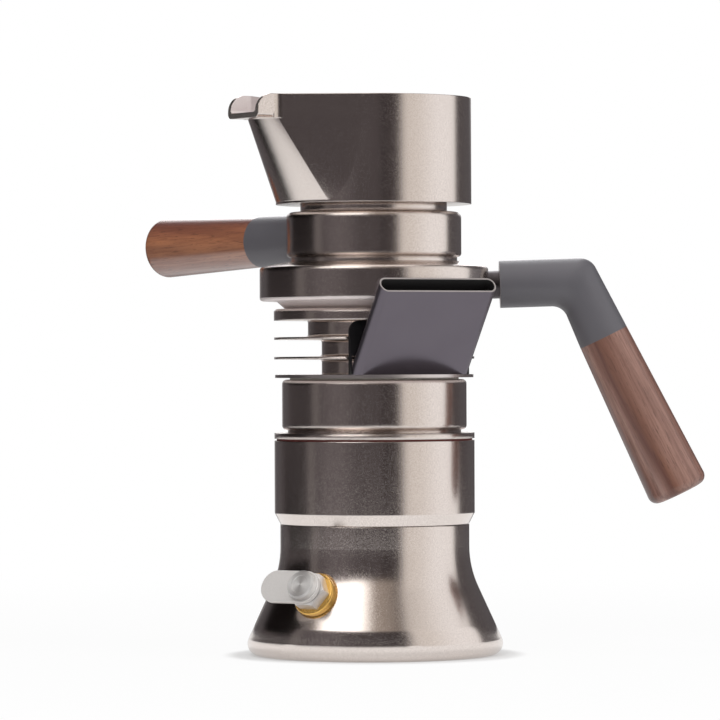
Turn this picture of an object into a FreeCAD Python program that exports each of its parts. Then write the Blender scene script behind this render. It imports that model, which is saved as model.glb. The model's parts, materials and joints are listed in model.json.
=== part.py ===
import FreeCAD, Part
import math
import os
import re
import Sketcher
from FreeCAD import Placement, Rotation, Vector

# Stovetop espresso maker. Origin at the centre of the foot, +Z up, +X along the right handle.
# The lower boiler screws under an upper boiler with a heat-exchange coil, which carries a finned
# heat sink, the group collar, the screwed head ring and the jug.

DIMENSIONS = [
    # lower boiler
    ("foot_spread", 15),
    ("foot_round", 5.2),
    ("flare_angle", 24.5),
    ("flare_blend", 44),
    ("waist_top", 58.7),
    ("boiler_wall", 4),
    ("boiler_floor", 4),
    ("skirt_wall", 6.2),
    ("neck_height", 11.3),
    ("neck_chamfer", 0.5),
    ("neck_wall", 4.5),
    # gaps of screwed joints, of sliding shafts, and of pieces that are fixed together
    ("running_gap", 0.3),
    ("shaft_gap", 0.1),
    ("fixed_gap", 0.05),
    # relief valve
    ("relief_azimuth", 236.6),
    ("relief_height", 28.5),
    ("spot_depth", 1.1),
    ("bush_shank_radius", 6),
    ("bush_shank_length", 8),
    ("bush_flange_radius", 10),
    ("bush_rise", 3),
    ("bush_edge_round", 0.9),
    ("relief_chamber_radius", 3.6),
    ("relief_seat_radius", 1.8),
    ("relief_seat_length", 3),
    ("relief_hex_flats", 15),
    ("relief_hex_height", 5.6),
    ("relief_hex_roof", 2),
    ("relief_hex_bevel_radius", 7.35),
    ("relief_hex_bevel_width", 1.65),
    ("relief_hex_bevel_height", 1),
    ("relief_travel", 1.5),
    ("relief_seal_thickness", 0.5),
    ("plunger_radius", 3.3),
    ("plunger_height", 2),
    ("spindle_radius", 1.3),
    ("relief_wire_radius", 0.4),
    ("relief_coil_radius", 2.3),
    ("relief_spring_turns", 5),
    ("tab_half_width", 7.5),
    ("tab_reach", 22.5),
    ("tab_thickness", 2.2),
    ("tab_edge_round", 0.45),
    ("relief_cap_radius", 6.7),
    ("relief_cap_height", 3.3),
    ("relief_cap_lip", 0.4),
    ("relief_cap_dish_radius", 4.2),
    ("spindle_end_depth", 1),
    # upper boiler
    ("gasket_thickness", 2),
    ("upper_radius", 45),
    ("upper_height", 37.4),
    ("upper_wall", 3),
    ("upper_floor", 4),
    ("upper_floor_round", 1.8),
    ("skirt_chamfer_radius", 2.5),
    ("skirt_chamfer_height", 4.9),
    # pick-up tube and pressure valve
    ("pickup_radius", 4),
    ("pickup_wall", 1),
    ("pickup_foot_gap", 5),
    ("filter_radius", 8),
    ("filter_height", 1.5),
    ("filter_socket_height", 7),
    ("filter_socket_wall", 1.5),
    ("filter_hole_radius", 0.9),
    ("filter_hole_circle", 2.2),
    ("filter_holes", 4),
    ("valve_shank_radius", 7),
    ("valve_shank_length", 10),
    ("valve_nut_flats", 20),
    ("valve_nut_height", 3.7),
    ("valve_radius", 10),
    ("valve_height", 20),
    ("valve_socket_depth", 4),
    ("valve_passage_radius", 2.5),
    ("valve_seat_height", 4),
    ("valve_chamber_radius", 6),
    ("valve_cap_height", 3),
    ("valve_plug_depth", 4),
    ("valve_key_flats", 6),
    ("valve_key_depth", 2),
    ("valve_port_height", 10.5),
    ("valve_port_radius", 2),
    ("valve_boss_radius", 4),
    ("valve_boss_reach", 13),
    ("piston_height", 3),
    ("piston_stem_radius", 1.5),
    ("piston_stem_height", 4.5),
    ("pressure_wire_radius", 0.5),
    ("pressure_coil_radius", 3.9),
    ("pressure_spring_turns", 5),
    # heat-exchange coil
    ("coil_tube_radius", 2.5),
    ("coil_radius", 29),
    ("coil_pitch", 7),
    ("coil_turns", 3),
    ("coil_elbow_radius", 8),
    ("coil_entry_angle", 60),
    # dome
    ("lid_seal_thickness", 0.9),
    ("lid_seal_inset", 1),
    ("dome_flange_thickness", 2.5),
    ("dome_spigot_depth", 6.3),
    ("dome_wall", 3),
    ("dome_groove_depth", 2.5),
    ("dome_groove_height", 1.4),
    ("dome_setback", 3.5),
    ("dome_height", 22.6),
    ("dome_groove_wall", 2.5),
    ("dome_edge_round", 2),
    # chimney and its plates
    ("plate_seal_thickness", 0.8),
    ("plate_seal_inner_radius", 20),
    ("plate_seal_inset", 3.5),
    ("plate_inset", 0.4),
    ("plate_thickness", 1.4),
    ("chimney_azimuth", 297.5),
    ("chimney_setback", 12.4),
    ("chimney_lean", 35.5),
    ("chimney_width", 57.6),
    ("chimney_depth", 7),
    ("chimney_wall", 0.7),
    ("chimney_length", 49.5),
    ("chimney_mouth_slant", 20),
    ("steam_slot_length", 22),
    ("steam_slot_width", 4),
    ("shield_setback", 12.2),
    ("shield_thickness", 1.2),
    ("shield_leg_width", 1.2),
    ("shield_corner", 5),
    # heat sink
    ("hub_step", 6.2),
    ("hub_setback", 3),
    ("fin_root_thickness", 1.7),
    ("fin_tip_thickness", 1.1),
    ("first_fin_height", 6.6),
    ("fin_pitch", 8.8),
    ("sink_disc_height", 24.3),
    ("sink_disc_overhang", 0.1),
    ("sink_disc_thickness", 5.2),
    ("sink_disc_chamfer", 1),
    ("fin_root_fillet", 1),
    ("fin_notch_gap", 0.3),
    # screws through the stack
    ("stack_screw_circle", 16),
    ("stack_screw_radius", 1.9),
    ("stack_screw_head_radius", 3.4),
    ("stack_screw_head_height", 2),
    ("stack_screw_count", 4),
    ("stack_screw_end_cover", 0.8),
    # group collar
    ("collar_neck_flare", 4),
    ("collar_neck_inset", 1),
    ("collar_neck_height", 3.5),
    ("collar_overhang", 6.4),
    ("collar_height", 15.1),
    ("collar_crown_width", 2.2),
    ("collar_crown_height", 2.5),
    ("collar_edge_round", 1.5),
    ("collar_floor", 3),
    ("collar_seat_width", 3.2),
    ("collar_seat_radius", 34.6),
    ("collar_seat_height", 2.5),
    ("screen_ledge", 4.6),
    ("water_chamber_depth", 0.8),
    ("screen_thickness", 0.8),
    ("group_gasket_width", 3.8),
    # basket
    ("basket_seat_gap", 1.1),
    ("basket_wall", 1.5),
    ("basket_height", 25),
    ("basket_floor", 1.5),
    ("basket_hole_radius", 1.2),
    ("basket_hole_circle", 20),
    ("basket_holes", 12),
    ("basket_inner_hole_circle", 10),
    ("basket_inner_holes", 6),
    ("head_gasket_thickness", 2),
    # head ring
    ("basket_side_gap", 0.6),
    ("spigot_start", 1.5),
    ("ring_gap", 2.1),
    ("ring_overhang", 1.9),
    ("ring_height", 20.2),
    ("ring_edge_round", 2.6),
    ("ring_lower_round", 1.7),
    ("head_screen_inset", 2),
    ("funnel_inset", 2),
    ("funnel_height", 5.2),
    ("funnel_throat_radius", 5),
    ("boss_radius", 33),
    ("boss_height", 3.5),
    ("stem_socket_depth", 6.4),
    ("stem_seal_radius", 12.4),
    ("stem_seal_width", 2.4),
    ("stem_seal_height", 1.2),
    # jug
    ("jug_radius", 44),
    ("jug_wall", 2.3),
    ("jug_floor", 4),
    ("jug_height", 47.6),
    ("spout_azimuth", 214),
    ("spout_reach", 69.5),
    ("spout_lip_half_width", 12.3),
    ("spout_lip_length", 10.5),
    ("spout_lip_floor_drop", 8.2),
    ("spout_lip_thickness", 2.4),
    ("spout_lip_round", 7.5),
    ("spout_lip_edge_round", 2.4),
    ("spout_channel_edge_round", 1.4),
    ("spout_cheek_round", 7),
    ("spout_lip_bulge", 4),
    ("spout_root_crease", 21),
    ("spout_root_bulge", 5.4),
    ("spout_root_reach", 0.3),
    ("spout_root_height", 1),
    ("spout_inset", 0.2),
    # outlet stem
    ("stem_shank_radius", 8),
    ("stem_flange_radius", 14),
    ("stem_flange_height", 3),
    ("stem_flange_round", 0.9),
    ("stem_radius", 6),
    ("stem_bore_radius", 3.2),
    ("stem_height", 26.6),
    ("stem_outlet_radius", 2),
    ("stem_outlet_drop", 5),
    ("stem_cap_radius", 9),
    ("stem_cap_height", 6),
    ("stem_cap_round", 4.5),
    ("stem_cap_plug", 2),
    # right handle
    ("right_handle_share", 0.47),
    ("right_handle_rise", 1.6),
    ("right_neck_radius", 6.3),
    ("right_neck_depth", 4.4),
    ("right_neck_reach", 5.2),
    ("right_spigot_radius", 4.5),
    ("right_spigot_length", 12),
    ("right_ferrule_radius", 10.6),
    ("right_sleeve_length", 34.6),
    ("right_drop_angle", 65.7),
    ("right_bend_outer_round", 7.6),
    ("right_bend_inner_round", 7.2),
    ("right_branch_length", 27.7),
    ("right_branch_radius", 11.5),
    ("right_grip_length", 78),
    ("right_grip_radius", 13.8),
    ("right_grip_round", 4),
    ("stud_radius", 3),
    ("right_stud_in_ferrule", 15),
    ("right_stud_in_grip", 60),
    # left handle
    ("left_handle_azimuth", 135),
    ("left_handle_share", 0.495),
    ("left_handle_droop", 1.3),
    ("left_ferrule_root_radius", 10.6),
    ("left_ferrule_radius", 11.6),
    ("left_ferrule_length", 33.6),
    ("left_stud_depth", 3.7),
    ("left_grip_length", 67),
    ("left_grip_radius", 13.8),
    ("left_grip_round", 4),
    ("left_stud_in_grip", 42),
]

doc = FreeCAD.newDocument("EspressoMaker")
sheet = doc.addObject("Spreadsheet::Sheet", "Dims")
for row, (alias, number) in enumerate(DIMENSIONS, 1):
    sheet.set(f"A{row}", alias)
    sheet.set(f"B{row}", str(number))
    sheet.setAlias(f"B{row}", alias)
doc.recompute()

# Sizes that follow from the driving dimensions.
FOLLOWING = {
    "waist_radius": "(upper_radius - skirt_chamfer_radius)",
    "foot_radius": "(waist_radius + foot_spread)",
    "neck_radius": "(upper_radius - skirt_wall - running_gap)",
    "mouth_radius": "(neck_radius - neck_wall)",
    "lid_seal_radius": "(upper_radius - lid_seal_inset)",
    "dome_radius": "(upper_radius - dome_setback)",
    "dome_neck_radius": "(dome_radius - dome_groove_depth)",
    "dome_bore_radius": "(dome_neck_radius - dome_groove_wall)",
    "plate_seal_radius": "(dome_radius - plate_seal_inset)",
    "plate_radius": "(upper_radius - plate_inset)",
    "chimney_base": "(upper_radius - chimney_setback)",
    "shield_offset": "(upper_radius - shield_setback)",
    "shield_width": "(chimney_width + 2 * shield_leg_width)",
    "upper_hub_radius": "(shield_offset - hub_setback)",
    "hub_radius": "(upper_hub_radius - hub_step)",
    "sink_disc_radius": "(upper_radius + sink_disc_overhang)",
    "collar_radius": "(upper_radius + collar_overhang)",
    "collar_neck_radius": "(upper_radius - collar_neck_inset)",
    "collar_foot_radius": "(collar_neck_radius - collar_neck_flare)",
    "collar_bore_radius": "(collar_seat_radius + collar_seat_width)",
    "collar_crown_radius": "(collar_bore_radius + collar_crown_width)",
    "water_chamber_radius": "(collar_seat_radius - screen_ledge)",
    "basket_radius": "(collar_seat_radius - basket_seat_gap)",
    "spigot_radius": "(collar_bore_radius - running_gap)",
    "spigot_bore_radius": "(basket_radius + basket_side_gap)",
    "ring_radius": "(spigot_radius + ring_overhang)",
    "head_screen_radius": "(basket_radius - basket_wall - head_screen_inset)",
    "funnel_radius": "(head_screen_radius - funnel_inset)",
    "right_neck_seat": "(collar_radius - right_neck_depth)",
    "right_ferrule_start": "(collar_radius + right_neck_reach)",
    "right_corner": "(right_ferrule_start + right_sleeve_length)",
    "left_stud_start": "(ring_radius - left_stud_depth)",
    "left_ferrule_end": "(ring_radius + left_ferrule_length)",
}
ALIASES = {alias for alias, number in DIMENSIONS}
nodes = []


def bound(text):
    """The same formula in the sheet's own dimensions."""
    def spell(match):
        name = match.group()
        if name in FOLLOWING:
            return bound(FOLLOWING[name])
        return "Dims." + name if name in ALIASES else name

    return re.sub(r"[a-z_]\w*", spell, text)


def value(text):
    """The number that a formula of dimensions gives."""
    return float(sheet.evalExpression(bound(text)))


def vector(x, y, z):
    return Vector(value(x), value(y), value(z))


# Heights of the faces on which the pieces stand, from the foot up.
NECK_TOP = "(waist_top + neck_height)"
GASKET_TOP = f"({NECK_TOP} + gasket_thickness)"
UPPER_FLOOR_TOP = f"({GASKET_TOP} + upper_floor)"
SKIRT_BOTTOM = "(waist_top + running_gap)"
UPPER_TOP = f"({SKIRT_BOTTOM} + upper_height)"
LID_SEAL_TOP = f"({UPPER_TOP} + lid_seal_thickness)"
DOME_FLANGE_TOP = f"({LID_SEAL_TOP} + dome_flange_thickness)"
DOME_BOTTOM = f"({DOME_FLANGE_TOP} + dome_groove_height)"
DOME_TOP = f"({DOME_BOTTOM} + dome_height)"
DOME_ROOF = f"({DOME_TOP} - dome_wall)"
PLATE_BOTTOM = f"({DOME_TOP} + plate_seal_thickness)"
PLATE_TOP = f"({PLATE_BOTTOM} + plate_thickness)"
SINK_DISC_BOTTOM = f"({PLATE_TOP} + sink_disc_height)"
SINK_TOP = f"({SINK_DISC_BOTTOM} + sink_disc_thickness)"
COLLAR_BOTTOM = f"({SINK_TOP} + collar_neck_height)"
COLLAR_TOP = f"({COLLAR_BOTTOM} + collar_height)"
CROWN_TOP = f"({COLLAR_TOP} + collar_crown_height)"
COLLAR_FLOOR_TOP = f"({SINK_TOP} + collar_floor)"
SCREEN_TOP = f"({COLLAR_FLOOR_TOP} + screen_thickness)"
BASKET_BOTTOM = f"({COLLAR_FLOOR_TOP} + collar_seat_height)"
BASKET_TOP = f"({BASKET_BOTTOM} + basket_height)"
RING_CEILING = f"({BASKET_TOP} + head_gasket_thickness)"
RING_BOTTOM = f"({CROWN_TOP} + ring_gap)"
RING_TOP = f"({RING_BOTTOM} + ring_height)"
JUG_BOTTOM = f"({RING_TOP} + boss_height)"
JUG_FLOOR_TOP = f"({JUG_BOTTOM} + jug_floor)"
JUG_TOP = f"({JUG_BOTTOM} + jug_height)"
STEM_BOTTOM = f"({JUG_BOTTOM} - stem_socket_depth)"
STEM_FLANGE_TOP = f"({JUG_FLOOR_TOP} + stem_flange_height)"
STEM_TOP = f"({STEM_FLANGE_TOP} + stem_height)"
RIGHT_FACE_Z = f"({COLLAR_BOTTOM} + collar_height * right_handle_share)"
RIGHT_HANDLE_Z = f"({RIGHT_FACE_Z} - collar_radius * tan(right_handle_rise))"
LEFT_HANDLE_Z = f"({RING_BOTTOM} + ring_height * left_handle_share)"
TUBE_HOLE = "(coil_tube_radius + 2 * fixed_gap)"
SCREW_HOLE = "(stack_screw_radius + 2 * fixed_gap)"


def new_body(label, placement=None):
    """An empty body, named after its node."""
    body = doc.addObject("PartDesign::Body", label)
    body.Label = label
    if placement:
        body.Placement = placement
    nodes.append(body)
    return body


def attach(body, name, role, offset):
    """A sketch on one of the body's own origin planes, raised along its normal."""
    sketch = body.newObject("Sketcher::SketchObject", name)
    plane = next(item for item in body.Origin.OriginFeatures if item.Role == role)
    sketch.AttachmentSupport = [(plane, "")]
    sketch.MapMode = "FlatFace"
    sketch.setExpression("AttachmentOffset.Base.z", bound(offset))
    return sketch


def pin(sketch, edge, end, x, y):
    """Hold one point of the sketch at x, y; both are formulas."""
    for kind, axis, text in (("DistanceX", -2, x), ("DistanceY", -1, y)):
        if text == "0":
            sketch.addConstraint(Sketcher.Constraint("PointOnObject", edge, end, axis))
        else:
            index = sketch.addConstraint(Sketcher.Constraint(kind, edge, end, value(text)))
            sketch.setExpression(f"Constraints[{index}]", bound(text))


def outline(body, name, role, corners, offset="0"):
    """Closed outline. A corner is (x, y), or (x, y, radius, turn) where an arc leaves it:
    turn is 1 for an arc that bends to the left and -1 for one that bends to the right."""
    sketch = attach(body, name, role, offset)
    points = [vector(corner[0], corner[1], "0") for corner in corners]
    ends = []
    for index, corner in enumerate(corners):
        start, end = points[index], points[(index + 1) % len(points)]
        if len(corner) == 2:
            sketch.addGeometry(Part.LineSegment(start, end))
            ends.append((1, 2))
            continue
        radius, turn = value(corner[2]), corner[3]
        chord = end - start
        rise = math.sqrt(max(radius ** 2 - (chord.Length / 2) ** 2, 0))
        left = Vector(-chord.y, chord.x, 0).normalize()
        centre = (start + end) * 0.5 + left * (rise * turn)
        first, last = (start, end) if turn > 0 else (end, start)
        angles = [math.atan2(point.y - centre.y, point.x - centre.x) for point in (first, last)]
        circle = Part.Circle(centre, Vector(0, 0, 1), radius)
        sketch.addGeometry(Part.ArcOfCircle(circle, angles[0], angles[1]))
        ends.append((1, 2) if turn > 0 else (2, 1))
    for index, corner in enumerate(corners):
        following = (index + 1) % len(corners)
        sketch.addConstraint(
            Sketcher.Constraint("Coincident", index, ends[index][1], following, ends[following][0]))
        pin(sketch, index, ends[index][0], corner[0], corner[1])
        if len(corner) > 2:
            number = sketch.addConstraint(Sketcher.Constraint("Radius", index, value(corner[2])))
            sketch.setExpression(f"Constraints[{number}]", bound(corner[2]))
    return sketch


def ring(body, name, role, radius, x="0", y="0", offset="0"):
    """A circle sketch."""
    sketch = attach(body, name, role, offset)
    sketch.addGeometry(Part.Circle(vector(x, y, "0"), Vector(0, 0, 1), value(radius)))
    number = sketch.addConstraint(Sketcher.Constraint("Radius", 0, value(radius)))
    sketch.setExpression(f"Constraints[{number}]", bound(radius))
    pin(sketch, 0, 3, x, y)
    return sketch


def stadium(body, name, role, centre_x, low_y, high_y, radius, offset="0"):
    """A slot along Y whose end arcs are centred at low_y and high_y."""
    sketch = attach(body, name, role, offset)
    left, right = f"({centre_x} - {radius})", f"({centre_x} + {radius})"
    middle, size = value(centre_x), value(radius)
    upper = Part.Circle(Vector(middle, value(high_y), 0), Vector(0, 0, 1), size)
    lower = Part.Circle(Vector(middle, value(low_y), 0), Vector(0, 0, 1), size)
    sketch.addGeometry(Part.ArcOfCircle(upper, 0, math.pi))
    sketch.addGeometry(Part.LineSegment(vector(left, high_y, "0"), vector(left, low_y, "0")))
    sketch.addGeometry(Part.ArcOfCircle(lower, math.pi, 2 * math.pi))
    sketch.addGeometry(Part.LineSegment(vector(right, low_y, "0"), vector(right, high_y, "0")))
    for index, (x, y) in enumerate(((right, high_y), (left, high_y), (left, low_y), (right, low_y))):
        sketch.addConstraint(Sketcher.Constraint("Coincident", index, 2, (index + 1) % 4, 1))
        pin(sketch, index, 1, x, y)
    for index, y in ((0, high_y), (2, low_y)):
        if y == "0":
            sketch.addConstraint(Sketcher.Constraint("PointOnObject", index, 3, -1))
            continue
        number = sketch.addConstraint(Sketcher.Constraint("DistanceY", index, 3, value(y)))
        sketch.setExpression(f"Constraints[{number}]", bound(y))
    return sketch


def hexagon(body, name, flats, offset):
    """A hexagon on the XY plane, by its width across flats."""
    reach = f"{flats} / sqrt(3)"
    corners = [(f"({reach} * cos({angle}))", f"({reach} * sin({angle}))") for angle in range(30, 390, 60)]
    corners[1] = ("0", corners[1][1])
    corners[4] = ("0", corners[4][1])
    return outline(body, name, "XY_Plane", corners, offset)


def turn(body, name, corners, cut=False):
    """Revolve an outline of (radius, height) corners about the body's Z axis."""
    sketch = outline(body, name + "Outline", "XZ_Plane", corners)
    feature = body.newObject("PartDesign::Groove" if cut else "PartDesign::Revolution", name)
    feature.Profile = sketch
    feature.ReferenceAxis = (sketch, ["V_Axis"])
    feature.Angle = 360
    return finish(body, feature, cut)


def raise_pad(body, name, sketch, length):
    """Pad a sketch along its normal."""
    feature = body.newObject("PartDesign::Pad", name)
    feature.Profile = sketch
    feature.setExpression("Length", bound(length))
    return finish(body, feature, False)


def cut_pocket(body, name, sketch, length, symmetric=False):
    """Pocket a sketch along its normal, or both ways from it."""
    feature = body.newObject("PartDesign::Pocket", name)
    feature.Profile = sketch
    feature.Reversed = True
    if symmetric:
        feature.SideType = "Symmetric"
    feature.setExpression("Length", bound(length))
    return finish(body, feature, True)


def finish(body, feature, cut):
    """Recompute and make sure that a cut has removed material and an addition has added some."""
    before = feature.BaseFeature.Shape.Volume if feature.BaseFeature else 0
    doc.recompute()
    change = feature.Shape.Volume - before
    if (change >= 0) == cut:
        raise RuntimeError(f"{body.Label}: {feature.Name} changes the volume by {change:.4f}")
    return feature


def cylinder(body, name, radius, length, placement, cut=True):
    """A cylinder primitive in the body's own frame, cut or added."""
    kind = "SubtractiveCylinder" if cut else "AdditiveCylinder"
    feature = body.newObject(f"PartDesign::{kind}", name)
    feature.setExpression("Radius", bound(radius))
    feature.setExpression("Height", bound(length))
    feature.Placement = placement
    return finish(body, feature, cut)


def repeat(body, name, feature, count):
    """Repeat a feature round the body's Z axis."""
    pattern = body.newObject("PartDesign::PolarPattern", name)
    axis = next(item for item in body.Origin.OriginFeatures if item.Role == "Z_Axis")
    pattern.Originals = [feature]
    pattern.Axis = (axis, [""])
    pattern.Angle = 360
    pattern.setExpression("Occurrences", bound(count))
    body.Tip = pattern
    doc.recompute()
    return pattern


def dress(body, name, kind, size, wanted):
    """Fillet or chamfer the edges that the test picks, by their middle point and their curve."""
    base = body.Tip
    names = [f"Edge{number}" for number, edge in enumerate(base.Shape.Edges, 1) if wanted(edge)]
    if not names:
        raise RuntimeError(f"{body.Label}: {name} finds no edge")
    feature = body.newObject(f"PartDesign::{kind}", name)
    feature.Base = (base, names)
    feature.setExpression("Radius" if kind == "Fillet" else "Size", bound(size))
    doc.recompute()
    return feature


def circles_at(*places):
    """A test for round edges about Z at these (radius, height) places."""
    wanted = [(value(radius), value(height)) for radius, height in places]

    def test(edge):
        curve = edge.Curve
        if not isinstance(curve, Part.Circle):
            return False
        return any(abs(curve.Radius - radius) < 1e-4 and abs(curve.Center.z - height) < 1e-4
                   and math.hypot(curve.Center.x, curve.Center.y) < 1e-4 for radius, height in wanted)

    return test


def screw_holes(body, name, radius, low, depth, azimuth="0"):
    """The holes of the stack screws, bored upwards from low."""
    x = f"(stack_screw_circle * cos({azimuth}))"
    y = "0" if azimuth == "0" else f"(stack_screw_circle * sin({azimuth}))"
    hole = cut_pocket(body, name, ring(body, name + "Circle", "XY_Plane", radius, x, y, low), depth)
    repeat(body, name + "Pattern", hole, "stack_screw_count")


def steam_slot(body, low, depth):
    """The slot that joins the upper boiler to the chimney."""
    end = "(steam_slot_length / 2 - steam_slot_width / 2)"
    sketch = stadium(body, "SteamSlotOutline", "XY_Plane", "chimney_base", f"(-1 * {end})", end,
                     "(steam_slot_width / 2)", low)
    cut_pocket(body, "SteamSlot", sketch, depth)


def biarc(start, start_way, end, end_way):
    """Two tangent arcs that join two points with the given unit directions."""
    chord = end - start
    both = start_way + end_way
    spread = 2 * (1 - start_way.dot(end_way))
    along = chord.dot(both)
    if spread < 1e-9:
        reach = chord.dot(chord) / (4 * chord.dot(end_way))
    else:
        reach = (math.sqrt(along ** 2 + spread * chord.dot(chord)) - along) / spread
    middle = (start + start_way * reach + end - end_way * reach) * 0.5
    edges = []
    halves = ((start, middle, start + start_way * reach), (middle, end, end - end_way * reach))
    for near, far, corner in halves:
        half = (far - near) * 0.5
        to_corner = corner - (near + half)
        half_angle = math.atan2(to_corner.Length, half.Length)
        top = near + half + to_corner.normalize() * (half.Length * math.tan(half_angle / 2))
        edges.append(Part.Arc(near, top, far).toShape())
    return edges


def helix_state(radius, pitch, low, angle):
    """Point and unit direction on a helix about Z after this angle in radians."""
    climb = pitch / (2 * math.pi)
    point = Vector(radius * math.cos(angle), radius * math.sin(angle), low + climb * angle)
    way = Vector(-radius * math.sin(angle), radius * math.cos(angle), climb)
    return point, way.normalize()


def helix_edges(radius, pitch, turns, low, start_angle=0.0):
    """A helix as biarcs of half a turn each; low is its height at angle 0."""
    edges = []
    for half in range(round(2 * turns)):
        first = helix_state(radius, pitch, low, start_angle + half * math.pi)
        second = helix_state(radius, pitch, low, start_angle + (half + 1) * math.pi)
        edges += biarc(*first, *second)
    return edges


def wound_tube(label, edges, way, radius, placement=None):
    """One unbroken tube along tangent edges, which starts in the direction way."""
    wire = Part.Wire(edges)
    circle = Part.Wire(Part.Circle(edges[0].firstVertex().Point, way, radius).toShape())
    shell = Part.BRepOffsetAPI.MakePipeShell(wire)
    shell.add(circle)
    shell.build()
    shell.makeSolid()
    node = doc.addObject("Part::Feature", label)
    node.Label = label
    node.Shape = shell.shape()
    if placement:
        node.Placement = placement
    nodes.append(node)
    ideal = math.pi * radius ** 2 * wire.Length
    print(f"{label}: volume {node.Shape.Volume:.2f}, section times length {ideal:.2f}")
    return node


def print_gap(label, radius, pitch, turns, wire_radius):
    """Print the least gap between neighbouring turns, measured on points of the helix."""
    steps = 72
    points = [helix_state(radius, pitch, 0, 2 * math.pi * number / steps)[0]
              for number in range(round(turns * steps) + 1)]
    least = min((points[near] - points[far]).Length
                for near in range(len(points)) for far in range(near + steps // 2, len(points)))
    print(f"{label}: least gap between turns {least - 2 * wire_radius:.2f} mm")


# Lower boiler: the flare's outline is a foot arc, a cone and a blend arc into the waist.
FOOT_CENTRE = "(foot_radius - foot_round)"
CONE_LOW_R = f"({FOOT_CENTRE} + foot_round * cos(flare_angle))"
CONE_LOW_Z = "(foot_round + foot_round * sin(flare_angle))"
CONE_HIGH_R = "(waist_radius + flare_blend * (1 - cos(flare_angle)))"
CONE_HIGH_Z = f"({CONE_LOW_Z} + ({CONE_LOW_R} - {CONE_HIGH_R}) / tan(flare_angle))"
BLEND_TOP_Z = f"({CONE_HIGH_Z} + flare_blend * sin(flare_angle))"
RELIEF_RADIAL = f"({CONE_LOW_R} - (relief_height - {CONE_LOW_Z}) * tan(flare_angle))"


def relief_frame():
    """Valve frame: origin on the flare's surface, +Z out along the valve axis, -Y to the tab's end."""
    azimuth = Rotation(Vector(0, 0, 1), value("relief_azimuth"))
    tilt = Rotation(Vector(0, 1, 0), value("90 - flare_angle"))
    base = azimuth.multVec(vector(RELIEF_RADIAL, "0", "relief_height"))
    return Placement(base, azimuth * tilt)


def along_z(height):
    """Placement shifted along Z only."""
    return Placement(Vector(0, 0, value(height)), Rotation())


def right_handle_frame():
    """Frame on the machine's axis with +Z out along the right handle's neck and +X down."""
    tilt = Rotation(Vector(0, 1, 0), value("90 - right_handle_rise"))
    return Placement(vector("0", "0", RIGHT_HANDLE_Z), tilt)


def left_handle_frame():
    """Frame on the machine's axis with +Z out along the left handle and +X down."""
    azimuth = Rotation(Vector(0, 0, 1), value("left_handle_azimuth"))
    tilt = Rotation(Vector(0, 1, 0), value("90 + left_handle_droop"))
    return Placement(vector("0", "0", LEFT_HANDLE_Z), azimuth * tilt)


def make_lower_boiler():
    body = new_body("lower_boiler")
    turn(body, "Casting", [
        ("0", "0"),
        (FOOT_CENTRE, "0", "foot_round", 1),
        (CONE_LOW_R, CONE_LOW_Z),
        (CONE_HIGH_R, CONE_HIGH_Z, "flare_blend", -1),
        ("waist_radius", BLEND_TOP_Z),
        ("waist_radius", "waist_top"),
        ("neck_radius", "waist_top"),
        ("neck_radius", NECK_TOP),
        ("0", NECK_TOP)])
    inner_waist = "(waist_radius - boiler_wall)"
    inner_cone_r = f"({CONE_HIGH_R} - boiler_wall * cos(flare_angle))"
    inner_cone_z = f"({CONE_HIGH_Z} - boiler_wall * sin(flare_angle))"
    floor_r = f"({inner_cone_r} + ({inner_cone_z} - boiler_floor) * tan(flare_angle))"
    roof_z = "(waist_top - boiler_wall)"
    turn(body, "WaterSpace", [
        ("0", "boiler_floor"),
        (floor_r, "boiler_floor"),
        (inner_cone_r, inner_cone_z, "(flare_blend + boiler_wall)", -1),
        (inner_waist, BLEND_TOP_Z),
        (inner_waist, f"({roof_z} - {inner_waist} + mouth_radius)"),
        ("mouth_radius", roof_z),
        ("mouth_radius", NECK_TOP),
        ("0", NECK_TOP)], cut=True)
    frame = relief_frame()
    cylinder(body, "ValveSpotFace", "bush_flange_radius + running_gap", "bush_flange_radius",
             frame * along_z("-1 * spot_depth"))
    cylinder(body, "ValveBore", "bush_shank_radius + fixed_gap", "bush_shank_length + boiler_wall",
             frame * along_z("-1 * bush_shank_length"))
    dress(body, "NeckEdge", "Chamfer", "neck_chamfer", circles_at(("neck_radius", NECK_TOP)))


HEX_TOP = "(bush_rise + relief_hex_height)"
SEAT_FACE = "(relief_seat_length - bush_shank_length)"
PLUNGER_BOTTOM = f"({SEAT_FACE} + relief_seal_thickness)"
PLUNGER_TOP = f"({PLUNGER_BOTTOM} + plunger_height)"
TAB_BOTTOM = f"({HEX_TOP} + running_gap)"
TAB_TOP = f"({TAB_BOTTOM} + tab_thickness)"
RELIEF_CAP_TOP = f"({TAB_TOP} + relief_cap_height)"
SPINDLE_TOP = f"({RELIEF_CAP_TOP} - spindle_end_depth)"


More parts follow.
